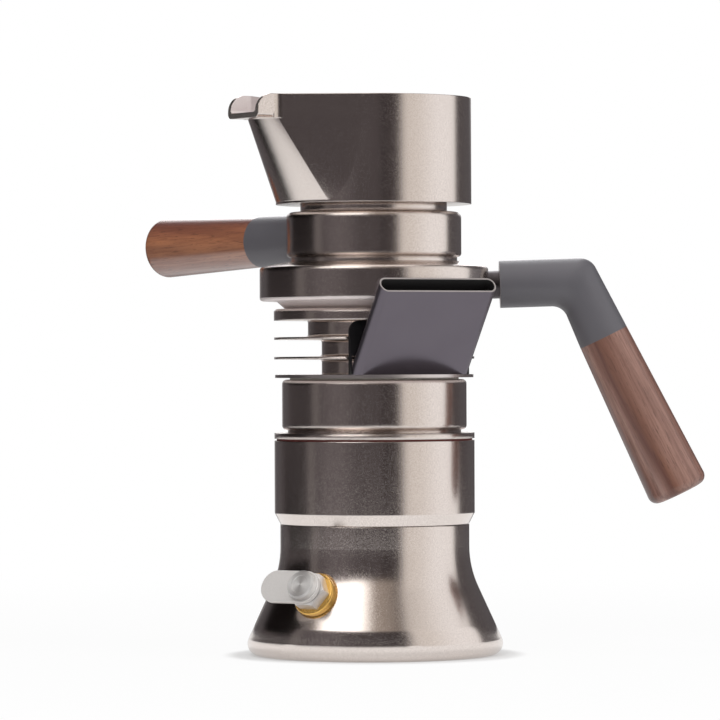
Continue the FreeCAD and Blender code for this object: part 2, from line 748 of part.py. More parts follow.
def make_relief_valve():
    frame = relief_frame()
    bush = new_body("relief_valve_bush", frame)
    turn(bush, "Bush", [
        ("relief_seat_radius", "-1 * bush_shank_length"),
        ("bush_shank_radius", "-1 * bush_shank_length"),
        ("bush_shank_radius", "-1 * spot_depth"),
        ("bush_flange_radius", "-1 * spot_depth"),
        ("bush_flange_radius", "bush_rise"),
        ("relief_chamber_radius", "bush_rise"),
        ("relief_chamber_radius", SEAT_FACE),
        ("relief_seat_radius", SEAT_FACE)])
    dress(bush, "FlangeEdge", "Fillet", "bush_edge_round", circles_at(("bush_flange_radius", "bush_rise")))

    valve = new_body("relief_valve_body", frame)
    raise_pad(valve, "Hexagon", hexagon(valve, "HexagonOutline", "relief_hex_flats", "bush_rise"),
              "relief_hex_height")
    roof = f"({HEX_TOP} - relief_hex_roof)"
    turn(valve, "Chamber", [
        ("0", "bush_rise"),
        ("relief_chamber_radius", "bush_rise"),
        ("relief_chamber_radius", roof),
        ("(spindle_radius + shaft_gap)", roof),
        ("(spindle_radius + shaft_gap)", HEX_TOP),
        ("0", HEX_TOP)], cut=True)
    outside = "(relief_hex_bevel_radius + relief_hex_bevel_width)"
    turn(valve, "CornerBevel", [
        ("relief_hex_bevel_radius", HEX_TOP),
        (outside, f"({HEX_TOP} - relief_hex_bevel_height)"),
        (outside, HEX_TOP)], cut=True)

    plunger = new_body("relief_valve_plunger", frame)
    turn(plunger, "Plunger", [
        ("0", PLUNGER_BOTTOM),
        ("plunger_radius", PLUNGER_BOTTOM),
        ("plunger_radius", PLUNGER_TOP),
        ("spindle_radius", PLUNGER_TOP),
        ("spindle_radius", SPINDLE_TOP),
        ("0", SPINDLE_TOP)])

    seal = new_body("relief_valve_seal", frame)
    turn(seal, "Seal", [
        ("0", SEAT_FACE),
        ("(plunger_radius - running_gap)", SEAT_FACE),
        ("(plunger_radius - running_gap)", PLUNGER_BOTTOM),
        ("0", PLUNGER_BOTTOM)])

    low = value(PLUNGER_TOP) + value("relief_wire_radius")
    high = value(f"{HEX_TOP} - relief_hex_roof - relief_travel - fixed_gap * 2 - relief_wire_radius")
    turns = value("relief_spring_turns")
    pitch = (high - low) / turns
    radius, wire = value("relief_coil_radius"), value("relief_wire_radius")
    way = helix_state(radius, pitch, 0, 0)[1]
    wound_tube("relief_valve_spring", helix_edges(radius, pitch, turns, low), way, wire, frame)
    print_gap("relief_valve_spring", radius, pitch, turns, wire)

    tab = new_body("relief_valve_tab", frame)
    sketch = stadium(tab, "TabOutline", "XY_Plane", "0", "(tab_half_width - tab_reach)", "0",
                     "tab_half_width", TAB_BOTTOM)
    raise_pad(tab, "Tab", sketch, "tab_thickness")
    hole = ring(tab, "SpindleHoleCircle", "XY_Plane", "spindle_radius + fixed_gap", offset=TAB_BOTTOM)
    cut_pocket(tab, "SpindleHole", hole, "tab_thickness")
    top, bottom = value(TAB_TOP), value(TAB_BOTTOM)
    hole_length = 2 * math.pi * value("spindle_radius + fixed_gap")

    def rim(edge):
        box = edge.BoundBox
        level = min(abs(box.ZMin - top), abs(box.ZMin - bottom)) < 1e-4 and box.ZLength < 1e-4
        return level and abs(edge.Length - hole_length) > 1e-3

    dress(tab, "TabEdge", "Fillet", "tab_edge_round", rim)

    cap = new_body("relief_valve_cap", frame)
    dish = f"({RELIEF_CAP_TOP} - relief_cap_lip)"
    turn(cap, "Cap", [
        ("(spindle_radius + fixed_gap)", TAB_TOP),
        ("relief_cap_radius", TAB_TOP),
        ("relief_cap_radius", f"({RELIEF_CAP_TOP} - relief_cap_lip * 2)"),
        ("(relief_cap_radius - relief_cap_lip * 2)", RELIEF_CAP_TOP),
        ("relief_cap_dish_radius", RELIEF_CAP_TOP),
        ("(relief_cap_dish_radius - relief_cap_lip)", dish),
        ("0", dish),
        ("0", SPINDLE_TOP),
        ("(spindle_radius + fixed_gap)", SPINDLE_TOP)])


VALVE_BOTTOM = f"({UPPER_FLOOR_TOP} - valve_shank_length)"
VALVE_TOP = f"({UPPER_FLOOR_TOP} + valve_height)"
VALVE_SEAT = f"({UPPER_FLOOR_TOP} + valve_seat_height)"
VALVE_PORT = f"({UPPER_FLOOR_TOP} + valve_port_height)"
PICKUP_TOP = f"({VALVE_BOTTOM} + valve_socket_depth)"
PICKUP_BOTTOM = "(boiler_floor + pickup_foot_gap)"
PISTON_TOP = f"({VALVE_SEAT} + piston_height)"
PLUG_BOTTOM = f"({VALVE_TOP} - valve_plug_depth)"


def make_upper_boiler():
    seal = new_body("boiler_gasket")
    turn(seal, "Gasket", [
        ("(mouth_radius + running_gap)", NECK_TOP),
        ("(neck_radius - running_gap)", NECK_TOP),
        ("(neck_radius - running_gap)", GASKET_TOP),
        ("(mouth_radius + running_gap)", GASKET_TOP)])

    body = new_body("upper_boiler")
    skirt_bore = "(neck_radius + running_gap)"
    shank_hole = "(valve_shank_radius + fixed_gap)"
    bore = "(upper_radius - upper_wall)"
    turn(body, "Shell", [
        (skirt_bore, SKIRT_BOTTOM),
        ("(upper_radius - skirt_chamfer_radius)", SKIRT_BOTTOM),
        ("upper_radius", f"({SKIRT_BOTTOM} + skirt_chamfer_height)"),
        ("upper_radius", UPPER_TOP),
        (bore, UPPER_TOP),
        (bore, UPPER_FLOOR_TOP),
        (shank_hole, UPPER_FLOOR_TOP),
        (shank_hole, GASKET_TOP),
        (skirt_bore, GASKET_TOP)])
    dress(body, "FloorFillet", "Fillet", "upper_floor_round", circles_at((bore, UPPER_FLOOR_TOP)))


def make_pressure_valve():
    tube = new_body("pickup_tube")
    turn(tube, "Tube", [
        ("(pickup_radius - pickup_wall)", PICKUP_BOTTOM),
        ("pickup_radius", PICKUP_BOTTOM),
        ("pickup_radius", PICKUP_TOP),
        ("(pickup_radius - pickup_wall)", PICKUP_TOP)])

    inlet = new_body("inlet_filter")
    socket, low = "(pickup_radius + fixed_gap)", f"({PICKUP_BOTTOM} - filter_height)"
    turn(inlet, "Filter", [
        ("0", low),
        ("filter_radius", low),
        ("filter_radius", PICKUP_BOTTOM),
        (f"({socket} + filter_socket_wall)", PICKUP_BOTTOM),
        (f"({socket} + filter_socket_wall)", f"({PICKUP_BOTTOM} + filter_socket_height)"),
        (socket, f"({PICKUP_BOTTOM} + filter_socket_height)"),
        (socket, PICKUP_BOTTOM),
        ("0", PICKUP_BOTTOM)])
    centre = ring(inlet, "CentreHoleCircle", "XY_Plane", "filter_hole_radius", offset=low)
    cut_pocket(inlet, "CentreHole", centre, "filter_height")
    sketch = ring(inlet, "StrainerCircle", "XY_Plane", "filter_hole_radius", "filter_hole_circle", "0", low)
    strainer = cut_pocket(inlet, "Strainer", sketch, "filter_height")
    repeat(inlet, "StrainerPattern", strainer, "filter_holes")

    valve = new_body("pressure_valve_body")
    turn(valve, "Body", [
        ("(pickup_radius + fixed_gap)", VALVE_BOTTOM),
        ("valve_shank_radius", VALVE_BOTTOM),
        ("valve_shank_radius", UPPER_FLOOR_TOP),
        ("valve_radius", UPPER_FLOOR_TOP),
        ("valve_radius", VALVE_TOP),
        ("valve_chamber_radius", VALVE_TOP),
        ("valve_chamber_radius", VALVE_SEAT),
        ("valve_passage_radius", VALVE_SEAT),
        ("valve_passage_radius", PICKUP_TOP),
        ("(pickup_radius + fixed_gap)", PICKUP_TOP)])
    inside = "((valve_radius + valve_chamber_radius) / 2)"
    sideways = Rotation(Vector(0, 1, 0), 90)
    cylinder(valve, "PortBoss", "valve_boss_radius", f"valve_boss_reach - {inside}",
             Placement(vector(inside, "0", VALVE_PORT), sideways), cut=False)
    cylinder(valve, "PortBore", "valve_port_radius", "valve_boss_reach",
             Placement(vector("0", "0", VALVE_PORT), sideways))

    nut = new_body("pressure_valve_nut")
    nut_low = f"({GASKET_TOP} - valve_nut_height)"
    raise_pad(nut, "Nut", hexagon(nut, "NutOutline", "valve_nut_flats", nut_low), "valve_nut_height")
    hole = ring(nut, "NutBoreCircle", "XY_Plane", "valve_shank_radius + fixed_gap", offset=nut_low)
    cut_pocket(nut, "NutBore", hole, "valve_nut_height")

    piston = new_body("pressure_valve_piston")
    turn(piston, "Piston", [
        ("0", VALVE_SEAT),
        ("(valve_chamber_radius - shaft_gap)", VALVE_SEAT),
        ("(valve_chamber_radius - shaft_gap)", PISTON_TOP),
        ("piston_stem_radius", PISTON_TOP),
        ("piston_stem_radius", f"({PISTON_TOP} + piston_stem_height)"),
        ("0", f"({PISTON_TOP} + piston_stem_height)")])

    low = value(PISTON_TOP) + value("pressure_wire_radius")
    high = value(PLUG_BOTTOM) - value("pressure_wire_radius")
    turns = value("pressure_spring_turns")
    radius, wire = value("pressure_coil_radius"), value("pressure_wire_radius")
    pitch = (high - low) / turns
    way = helix_state(radius, pitch, 0, 0)[1]
    wound_tube("pressure_valve_spring", helix_edges(radius, pitch, turns, low), way, wire)
    print_gap("pressure_valve_spring", radius, pitch, turns, wire)

    cap = new_body("pressure_valve_cap")
    turn(cap, "Cap", [
        ("0", PLUG_BOTTOM),
        ("(valve_chamber_radius - fixed_gap)", PLUG_BOTTOM),
        ("(valve_chamber_radius - fixed_gap)", VALVE_TOP),
        ("valve_radius", VALVE_TOP),
        ("valve_radius", f"({VALVE_TOP} + valve_cap_height)"),
        ("0", f"({VALVE_TOP} + valve_cap_height)")])
    key = hexagon(cap, "KeyOutline", "valve_key_flats", f"({VALVE_TOP} + valve_cap_height - valve_key_depth)")
    cut_pocket(cap, "Key", key, "valve_key_depth")


# Shares of the coil's pitch that it climbs on its way in from the port and out to the axis.
COIL_LEAD_IN = 1 / 8
COIL_LEAD_OUT = 1 / 3


def make_heat_exchange_coil():
    """Coil from the valve's port, three turns round the water space and up through the heat sink."""
    radius, pitch, turns = value("coil_radius"), value("coil_pitch"), value("coil_turns")
    port = vector("valve_boss_reach", "0", VALVE_PORT)
    entry = math.radians(value("coil_entry_angle"))
    low = port.z + pitch * (COIL_LEAD_IN - entry / (2 * math.pi))
    edges = biarc(port, Vector(1, 0, 0), *helix_state(radius, pitch, low, entry))
    edges += helix_edges(radius, pitch, turns, low, entry)
    last, last_way = helix_state(radius, pitch, low, entry + 2 * math.pi * turns)
    elbow = value("coil_elbow_radius")
    turn_in = Vector(0, elbow, last.z + pitch * COIL_LEAD_OUT)
    edges += biarc(last, last_way, turn_in, Vector(0, -1, 0))
    rise = Vector(0, 0, turn_in.z + elbow)
    slant = elbow * (1 - math.sqrt(0.5))
    edges.append(Part.Arc(turn_in, Vector(0, slant, turn_in.z + slant), rise).toShape())
    outlet = vector("0", "0", f"{COLLAR_FLOOR_TOP} - water_chamber_depth")
    edges.append(Part.LineSegment(rise, outlet).toShape())
    wound_tube("heat_exchange_coil", edges, Vector(1, 0, 0), value("coil_tube_radius"))
    print_gap("heat_exchange_coil", radius, pitch, turns, value("coil_tube_radius"))


def chimney_side():
    """Frame turned so that +X points at the chimney."""
    return Placement(Vector(), Rotation(Vector(0, 0, 1), value("chimney_azimuth")))


def make_dome():
    seal = new_body("lid_seal")
    spigot = "(upper_radius - upper_wall - running_gap)"
    turn(seal, "Seal", [
        (f"({spigot} + fixed_gap)", UPPER_TOP),
        ("lid_seal_radius", UPPER_TOP),
        ("lid_seal_radius", LID_SEAL_TOP),
        (f"({spigot} + fixed_gap)", LID_SEAL_TOP)])

    dome = new_body("boiler_dome", chimney_side())
    spigot_bore = f"({spigot} - dome_wall)"
    spigot_low = f"({LID_SEAL_TOP} - dome_spigot_depth)"
    turn(dome, "Shell", [
        (spigot_bore, spigot_low),
        (spigot, spigot_low),
        (spigot, LID_SEAL_TOP),
        ("upper_radius", LID_SEAL_TOP),
        ("upper_radius", DOME_FLANGE_TOP),
        ("dome_neck_radius", DOME_FLANGE_TOP),
        ("dome_neck_radius", DOME_BOTTOM),
        ("dome_radius", DOME_BOTTOM),
        ("dome_radius", DOME_TOP),
        (TUBE_HOLE, DOME_TOP),
        (TUBE_HOLE, DOME_ROOF),
        ("dome_bore_radius", DOME_ROOF),
        ("dome_bore_radius", f"({LID_SEAL_TOP} + {spigot_bore} - dome_bore_radius)"),
        (spigot_bore, LID_SEAL_TOP)])
    dress(dome, "ShoulderRound", "Fillet", "dome_edge_round",
          circles_at(("dome_radius", DOME_TOP), ("dome_radius", DOME_BOTTOM)))
    steam_slot(dome, DOME_ROOF, "dome_wall")
    screw_holes(dome, "ScrewHole", SCREW_HOLE, f"({DOME_ROOF} + stack_screw_end_cover)",
                "dome_wall - stack_screw_end_cover")


def make_chimney():
    side = chimney_side()
    seal = new_body("plate_seal", side)
    turn(seal, "Seal", [
        ("plate_seal_inner_radius", DOME_TOP),
        ("plate_seal_radius", DOME_TOP),
        ("plate_seal_radius", PLATE_BOTTOM),
        ("plate_seal_inner_radius", PLATE_BOTTOM)])
    steam_slot(seal, DOME_TOP, "plate_seal_thickness")

    plate = new_body("chimney_plate", side)
    turn(plate, "Plate", [
        (TUBE_HOLE, PLATE_BOTTOM),
        ("plate_radius", PLATE_BOTTOM),
        ("plate_radius", PLATE_TOP),
        (TUBE_HOLE, PLATE_TOP)])
    steam_slot(plate, PLATE_BOTTOM, "plate_thickness")
    screw_holes(plate, "ScrewHole", SCREW_HOLE, PLATE_BOTTOM, "plate_thickness")

    # The duct's own frame: +Z up the leaning duct, +X to its outer face, origin on the plate.
    lean = Rotation(Vector(0, 1, 0), value("chimney_lean"))
    duct = new_body("chimney", side * Placement(vector("chimney_base", "0", PLATE_TOP), lean))
    below = "(chimney_depth * 2)"
    outer = "(chimney_depth / 2)"
    end = f"(chimney_width / 2 - {outer})"
    inner = f"({outer} - chimney_wall)"
    sketch = stadium(duct, "DuctOutline", "XY_Plane", "0", f"(-1 * {end})", end, outer, f"-1 * {below}")
    raise_pad(duct, "Duct", sketch, f"chimney_length + {below}")
    sketch = stadium(duct, "BoreOutline", "XY_Plane", "0", f"(-1 * {end})", end, inner, f"-1 * {below}")
    cut_pocket(duct, "Bore", sketch, f"chimney_length + {below}")
    reach = "(chimney_depth * 2)"
    drop = f"({reach} * tan(chimney_lean))"
    deep = f"(-1 * {below} - {drop})"
    sketch = outline(duct, "SeatOutline", "XZ_Plane", [
        (f"(-1 * {reach})", f"(-1 * {drop})"),
        (f"(-1 * {reach})", deep),
        (reach, deep),
        (reach, drop)])
    cut_pocket(duct, "Seat", sketch, "chimney_width * 2", symmetric=True)
    slope = f"({reach} * tan(chimney_mouth_slant))"
    middle = "(chimney_length - chimney_depth / 2 * tan(chimney_mouth_slant))"
    sketch = outline(duct, "MouthOutline", "XZ_Plane", [
        (f"(-1 * {reach})", f"({middle} + {slope})"),
        (reach, f"({middle} - {slope})"),
        (reach, f"({middle} + {slope} * 2)"),
        (f"(-1 * {reach})", f"({middle} + {slope} * 2)")])
    cut_pocket(duct, "Mouth", sketch, "chimney_width * 2", symmetric=True)

    # The shield stands on the plate and its legs straddle the duct.
    shield = new_body("chimney_shield", side)
    face = "(shield_offset + shield_thickness)"
    half, top = "(shield_width / 2)", f"({SINK_DISC_BOTTOM} - running_gap)"
    slot = "(chimney_width / 2 + fixed_gap)"
    back_wall = "(chimney_base - chimney_depth / 2 / cos(chimney_lean))"
    slot_top = f"({PLATE_TOP} + ({face} - {back_wall}) / tan(chimney_lean) + running_gap)"
    sketch = outline(shield, "ShieldOutline", "YZ_Plane", [
        (f"(-1 * {half})", PLATE_TOP),
        (f"(-1 * {slot})", PLATE_TOP),
        (f"(-1 * {slot})", slot_top),
        (slot, slot_top),
        (slot, PLATE_TOP),
        (half, PLATE_TOP),
        (half, f"({top} - shield_corner)", "shield_corner", 1),
        (f"({half} - shield_corner)", top),
        (f"(shield_corner - {half})", top, "shield_corner", 1),
        (f"(-1 * {half})", f"({top} - shield_corner)")], offset="shield_offset")
    raise_pad(shield, "Shield", sketch, "shield_thickness")


def make_heat_sink():
    body = new_body("heat_sink", chimney_side())
    taper = "((fin_root_thickness - fin_tip_thickness) / 2)"
    first = f"({PLATE_TOP} + first_fin_height)"
    second = f"({first} + fin_pitch)"

    def fin(low, root, upper_root):
        high = f"({low} + fin_root_thickness)"
        return [(root, low), ("upper_radius", f"({low} + {taper})"), ("upper_radius", f"({high} - {taper})"),
                (upper_root, high)]

    turn(body, "Sink", [
        (TUBE_HOLE, PLATE_TOP),
        ("hub_radius", PLATE_TOP),
        *fin(first, "hub_radius", "hub_radius"),
        *fin(second, "hub_radius", "upper_hub_radius"),
        ("upper_hub_radius", SINK_DISC_BOTTOM),
        ("sink_disc_radius", SINK_DISC_BOTTOM),
        ("sink_disc_radius", f"({SINK_TOP} - sink_disc_chamfer)"),
        ("(sink_disc_radius - sink_disc_chamfer)", SINK_TOP),
        (TUBE_HOLE, SINK_TOP)])
    dress(body, "RootFillet", "Fillet", "fin_root_fillet", circles_at(
        ("hub_radius", first), ("hub_radius", f"({first} + fin_root_thickness)"), ("hub_radius", second),
        ("upper_hub_radius", f"({second} + fin_root_thickness)"), ("upper_hub_radius", SINK_DISC_BOTTOM)))
    notch = "(shield_offset - fin_notch_gap)"
    sketch = outline(body, "NotchOutline", "XY_Plane", [
        (notch, "-1 * upper_radius"),
        ("(upper_radius + 1)", "-1 * upper_radius"),
        ("(upper_radius + 1)", "upper_radius"),
        (notch, "upper_radius")], offset=PLATE_TOP)
    cut_pocket(body, "ChimneyNotch", sketch, "sink_disc_height - running_gap")
    screw_holes(body, "ScrewHole", SCREW_HOLE, PLATE_TOP, "sink_disc_height + sink_disc_thickness")


def make_stack_screws():
    body = new_body("stack_screws", chimney_side())
    body.AllowCompound = True
    head_low = f"({COLLAR_FLOOR_TOP} - water_chamber_depth - stack_screw_head_height)"
    tip = f"({DOME_ROOF} + stack_screw_end_cover + fixed_gap)"
    sketch = ring(body, "ShankCircle", "XY_Plane", "stack_screw_radius", "stack_screw_circle", "0", tip)
    shank = raise_pad(body, "Shank", sketch, f"{head_low} - {tip}")
    sketch = ring(body, "HeadCircle", "XY_Plane", "stack_screw_head_radius", "stack_screw_circle", "0",
                  head_low)
    head = raise_pad(body, "Head", sketch, "stack_screw_head_height")
    pattern = body.newObject("PartDesign::PolarPattern", "ScrewPattern")
    axis = next(item for item in body.Origin.OriginFeatures if item.Role == "Z_Axis")
    pattern.Originals = [shank, head]
    pattern.Axis = (axis, [""])
    pattern.Angle = 360
    pattern.setExpression("Occurrences", bound("stack_screw_count"))
    body.Tip = pattern
    doc.recompute()


def make_collar():
    body = new_body("group_collar")
    chamber_floor = f"({COLLAR_FLOOR_TOP} - water_chamber_depth)"
    turn(body, "Collar", [
        (TUBE_HOLE, SINK_TOP),
        ("collar_foot_radius", SINK_TOP),
        ("collar_neck_radius", COLLAR_BOTTOM),
        ("collar_radius", COLLAR_BOTTOM),
        ("collar_radius", COLLAR_TOP),
        ("collar_crown_radius", CROWN_TOP),
        ("collar_bore_radius", CROWN_TOP),
        ("collar_bore_radius", BASKET_BOTTOM),
        ("collar_seat_radius", BASKET_BOTTOM),
        ("collar_seat_radius", COLLAR_FLOOR_TOP),
        ("water_chamber_radius", COLLAR_FLOOR_TOP),
        ("water_chamber_radius", chamber_floor),
        (TUBE_HOLE, chamber_floor)])
    dress(body, "RimRound", "Fillet", "collar_edge_round",
          circles_at(("collar_radius", COLLAR_TOP), ("collar_radius", COLLAR_BOTTOM)))
    screw_holes(body, "ScrewHole", SCREW_HOLE, SINK_TOP, "collar_floor - water_chamber_depth",
                "chimney_azimuth")
    screw_holes(body, "HeadSeat", "stack_screw_head_radius + fixed_gap * 2",
                f"({chamber_floor} - stack_screw_head_height)", "stack_screw_head_height", "chimney_azimuth")
    cylinder(body, "HandleSeat", "right_neck_radius + fixed_gap", "collar_radius",
             right_handle_frame() * along_z("right_neck_seat"))

    screen = new_body("group_screen")
    turn(screen, "Screen", [
        ("0", COLLAR_FLOOR_TOP),
        ("(collar_seat_radius - running_gap)", COLLAR_FLOOR_TOP),
        ("(collar_seat_radius - running_gap)", SCREEN_TOP),
        ("0", SCREEN_TOP)])

    seal = new_body("group_gasket")
    outer = "(collar_seat_radius - running_gap)"
    turn(seal, "Gasket", [
        (f"({outer} - group_gasket_width)", SCREEN_TOP),
        (outer, SCREEN_TOP),
        (outer, BASKET_BOTTOM),
        (f"({outer} - group_gasket_width)", BASKET_BOTTOM)])


def make_basket():
    body = new_body("coffee_basket")
    inner = "(basket_radius - basket_wall)"
    turn(body, "Basket", [
        ("0", BASKET_BOTTOM),
        ("basket_radius", BASKET_BOTTOM),
        ("basket_radius", BASKET_TOP),
        (inner, BASKET_TOP),
        (inner, f"({BASKET_BOTTOM} + basket_floor)"),
        ("0", f"({BASKET_BOTTOM} + basket_floor)")])
    for name, circle, count in (("Outer", "basket_hole_circle", "basket_holes"),
                                ("Inner", "basket_inner_hole_circle", "basket_inner_holes")):
        sketch = ring(body, name + "Circle", "XY_Plane", "basket_hole_radius", circle, "0", BASKET_BOTTOM)
        hole = cut_pocket(body, name + "Hole", sketch, "basket_floor")
        repeat(body, name + "Pattern", hole, count)

    seal = new_body("head_gasket")
    outer = "(spigot_bore_radius - running_gap)"
    turn(seal, "Gasket", [
        (inner, BASKET_TOP),
        (outer, BASKET_TOP),
        (outer, RING_CEILING),
        (inner, RING_CEILING)])


def make_head():
    body = new_body("head_ring")
    screen_hole = "(head_screen_radius + fixed_gap)"
    screen_top = f"({RING_CEILING} + screen_thickness)"
    socket = "(stem_shank_radius + fixed_gap)"
    seal_low = f"({JUG_BOTTOM} - stem_seal_height)"
    seal_inner = "(stem_seal_radius - stem_seal_width)"
    spigot_low = f"({BASKET_BOTTOM} + spigot_start)"
    turn(body, "Ring", [
        ("spigot_bore_radius", spigot_low),
        ("spigot_radius", spigot_low),
        ("spigot_radius", RING_BOTTOM),
        ("ring_radius", RING_BOTTOM),
        ("ring_radius", RING_TOP),
        ("boss_radius", RING_TOP),
        ("boss_radius", JUG_BOTTOM),
        ("stem_seal_radius", JUG_BOTTOM),
        ("stem_seal_radius", seal_low),
        (seal_inner, seal_low),
        (seal_inner, JUG_BOTTOM),
        (socket, JUG_BOTTOM),
        (socket, STEM_BOTTOM),
        ("funnel_throat_radius", STEM_BOTTOM),
        ("funnel_throat_radius", f"({screen_top} + funnel_height)"),
        ("funnel_radius", screen_top),
        (screen_hole, screen_top),
        (screen_hole, RING_CEILING),
        ("spigot_bore_radius", RING_CEILING)])
    dress(body, "RingRound", "Fillet", "min(ring_edge_round; ring_height / 3)",
          circles_at(("ring_radius", RING_TOP)))
    dress(body, "RingLowerRound", "Fillet", "min(ring_lower_round; (ring_radius - spigot_radius) * 0.9)",
          circles_at(("ring_radius", RING_BOTTOM)))
    cylinder(body, "StudHole", "stud_radius + fixed_gap", "ring_radius",
             left_handle_frame() * along_z("left_stud_start"))

    screen = new_body("head_screen")
    turn(screen, "Screen", [
        ("0", RING_CEILING),
        ("head_screen_radius", RING_CEILING),
        ("head_screen_radius", screen_top),
        ("0", screen_top)])

    seal = new_body("stem_seal")
    turn(seal, "Seal", [
        (seal_inner, seal_low),
        ("stem_seal_radius", seal_low),
        ("stem_seal_radius", JUG_BOTTOM),
        (seal_inner, JUG_BOTTOM)])


LIP_FLOOR = f"({JUG_TOP} - spout_lip_floor_drop)"
LIP_BOTTOM = f"({LIP_FLOOR} - spout_lip_thickness)"
SPOUT_SECTIONS = 6
CHEEK_BACK = "(spout_reach - spout_lip_length)"


def touch_angle(base_radius, x, y):
    """Angle of the point where a line from x, y touches the jug's circle."""
    return f"(acos({base_radius} / sqrt({x} * {x} + {y} * {y})) + atan({y} / {x}))"


def spout_section(body, name, share, low, high, base_radius, inset):
    """One level section of the spout: flanks that leave the jug's circle in tangents, two creases and a
    round keel between them. The creases run straight from the root to the lip."""
    root_y = f"(spout_root_crease - {inset})"
    root_x = f"(sqrt(({base_radius} + spout_root_reach) ^ 2 - {root_y} ^ 2))"
    x = f"({root_x} + ({CHEEK_BACK} - {root_x}) * {share})"
    y = f"({root_y} + (spout_lip_half_width - {inset} - {root_y}) * {share})"
    bulge = f"(spout_root_bulge + (spout_lip_bulge - spout_root_bulge) * {share})"
    keel = f"(({y} ^ 2 + {bulge} ^ 2) / (2 * {bulge}))"
    angle = touch_angle(base_radius, x, y)
    base_x, base_y = f"({base_radius} * cos({angle}))", f"({base_radius} * sin({angle}))"
    return outline(body, name, "XY_Plane", [
        (x, f"(-1 * {y})", keel, 1),
        (x, y),
        (base_x, base_y),
        (base_x, f"(-1 * {base_y})")], offset=f"({low} + ({high} - {low}) * {share})")


def spout_loft(body, name, low, high, base_radius, inset, cut):
    """The spout below its lip, as a loft through level sections."""
    sketches = [spout_section(body, f"{name}Section{number}", number / (SPOUT_SECTIONS - 1), low, high,
                              base_radius, inset)
                for number in range(SPOUT_SECTIONS)]
    loft = body.newObject("PartDesign::SubtractiveLoft" if cut else "PartDesign::AdditiveLoft", name)
    loft.Profile = sketches[0]
    loft.Sections = sketches[1:]
    finish(body, loft, cut)


def lip_profile(body, name, half_width, low, edge_round):
    """Section across the lip, with rounded lower edges."""
    inner = f"({half_width} - {edge_round})"
    return outline(body, name, "YZ_Plane", [
        (f"(-1 * {half_width})", JUG_TOP),
        (f"(-1 * {half_width})", f"({low} + {edge_round})", edge_round, 1),
        (f"(-1 * {inner})", low),
        (inner, low, edge_round, 1),
        (half_width, f"({low} + {edge_round})"),
        (half_width, JUG_TOP)])


def flank_outline(body, name, base_radius, half_width, cheek_round, height):
    """Plan of the spout beside its lip: flanks that touch the jug's circle and bend into the cheeks."""
    angle = touch_angle(base_radius, CHEEK_BACK, half_width)
    base_x, base_y = f"({base_radius} * cos({angle}))", f"({base_radius} * sin({angle}))"
    shift = f"({cheek_round} * tan((90 deg - {angle}) / 2))"
    front = f"({CHEEK_BACK} + {shift})"
    bend_x, bend_y = f"({CHEEK_BACK} - {shift} * sin({angle}))", f"({half_width} + {shift} * cos({angle}))"
    return outline(body, name, "XY_Plane", [
        (front, f"(-1 * {half_width})"),
        (front, half_width, cheek_round, -1),
        (bend_x, bend_y),
        (base_x, base_y),
        (base_x, f"(-1 * {base_y})"),
        (bend_x, f"(-1 * {bend_y})", cheek_round, -1)], offset=height)


def make_jug():
    body = new_body("jug", Placement(Vector(), Rotation(Vector(0, 0, 1), value("spout_azimuth"))))
    outer_base = "(jug_radius - spout_inset)"
    lip = lip_profile(body, "LipProfile", "spout_lip_half_width", LIP_BOTTOM, "spout_lip_edge_round")
    raise_pad(body, "Lip", lip, "spout_reach")
    flanks = flank_outline(body, "FlankOutline", outer_base, "spout_lip_half_width", "spout_cheek_round",
                           LIP_BOTTOM)
    raise_pad(body, "Flanks", flanks, f"{JUG_TOP} - {LIP_BOTTOM}")
    turn(body, "Barrel", [
        ("0", JUG_BOTTOM),
        ("jug_radius", JUG_BOTTOM),
        ("jug_radius", JUG_TOP),
        ("0", JUG_TOP)])
    spout_loft(body, "Spout", f"({JUG_BOTTOM} + spout_root_height)", LIP_BOTTOM, outer_base, "0", cut=False)
    bore = "(jug_radius - jug_wall)"
    turn(body, "JugBore", [
        ("0", JUG_FLOOR_TOP),
        (bore, JUG_FLOOR_TOP),
        (bore, JUG_TOP),
        ("0", JUG_TOP)], cut=True)
    inner_base, inner_half = f"({bore} - spout_inset)", "(spout_lip_half_width - jug_wall)"
    spout_loft(body, "SpoutBore", f"({JUG_FLOOR_TOP} + spout_root_height)", LIP_FLOOR, inner_base, "jug_wall",
               cut=True)
    flanks = flank_outline(body, "FlankBoreOutline", inner_base, inner_half, "spout_cheek_round", LIP_FLOOR)
    cut_pocket(body, "FlankBore", flanks, f"{JUG_TOP} - {LIP_FLOOR}")
    channel = lip_profile(body, "ChannelProfile", inner_half, LIP_FLOOR, "spout_channel_edge_round")
    cut_pocket(body, "Channel", channel, "(spout_reach + spout_lip_length)")
    far, up = "(spout_reach + spout_lip_length)", f"({JUG_TOP} + spout_lip_length)"
    sketch = outline(body, "LipRoundOutline", "XZ_Plane", [
        ("(spout_reach - spout_lip_round)", JUG_TOP, "spout_lip_round", -1),
        ("spout_reach", f"({JUG_TOP} - spout_lip_round)"),
        (far, f"({JUG_TOP} - spout_lip_round)"),
        (far, up),
        ("(spout_reach - spout_lip_round)", up)])
    cut_pocket(body, "LipRound", sketch, "jug_radius * 2", symmetric=True)
    hole = ring(body, "StemHoleCircle", "XY_Plane", "stem_shank_radius + fixed_gap", offset=JUG_BOTTOM)
    cut_pocket(body, "StemHole", hole, "jug_floor")


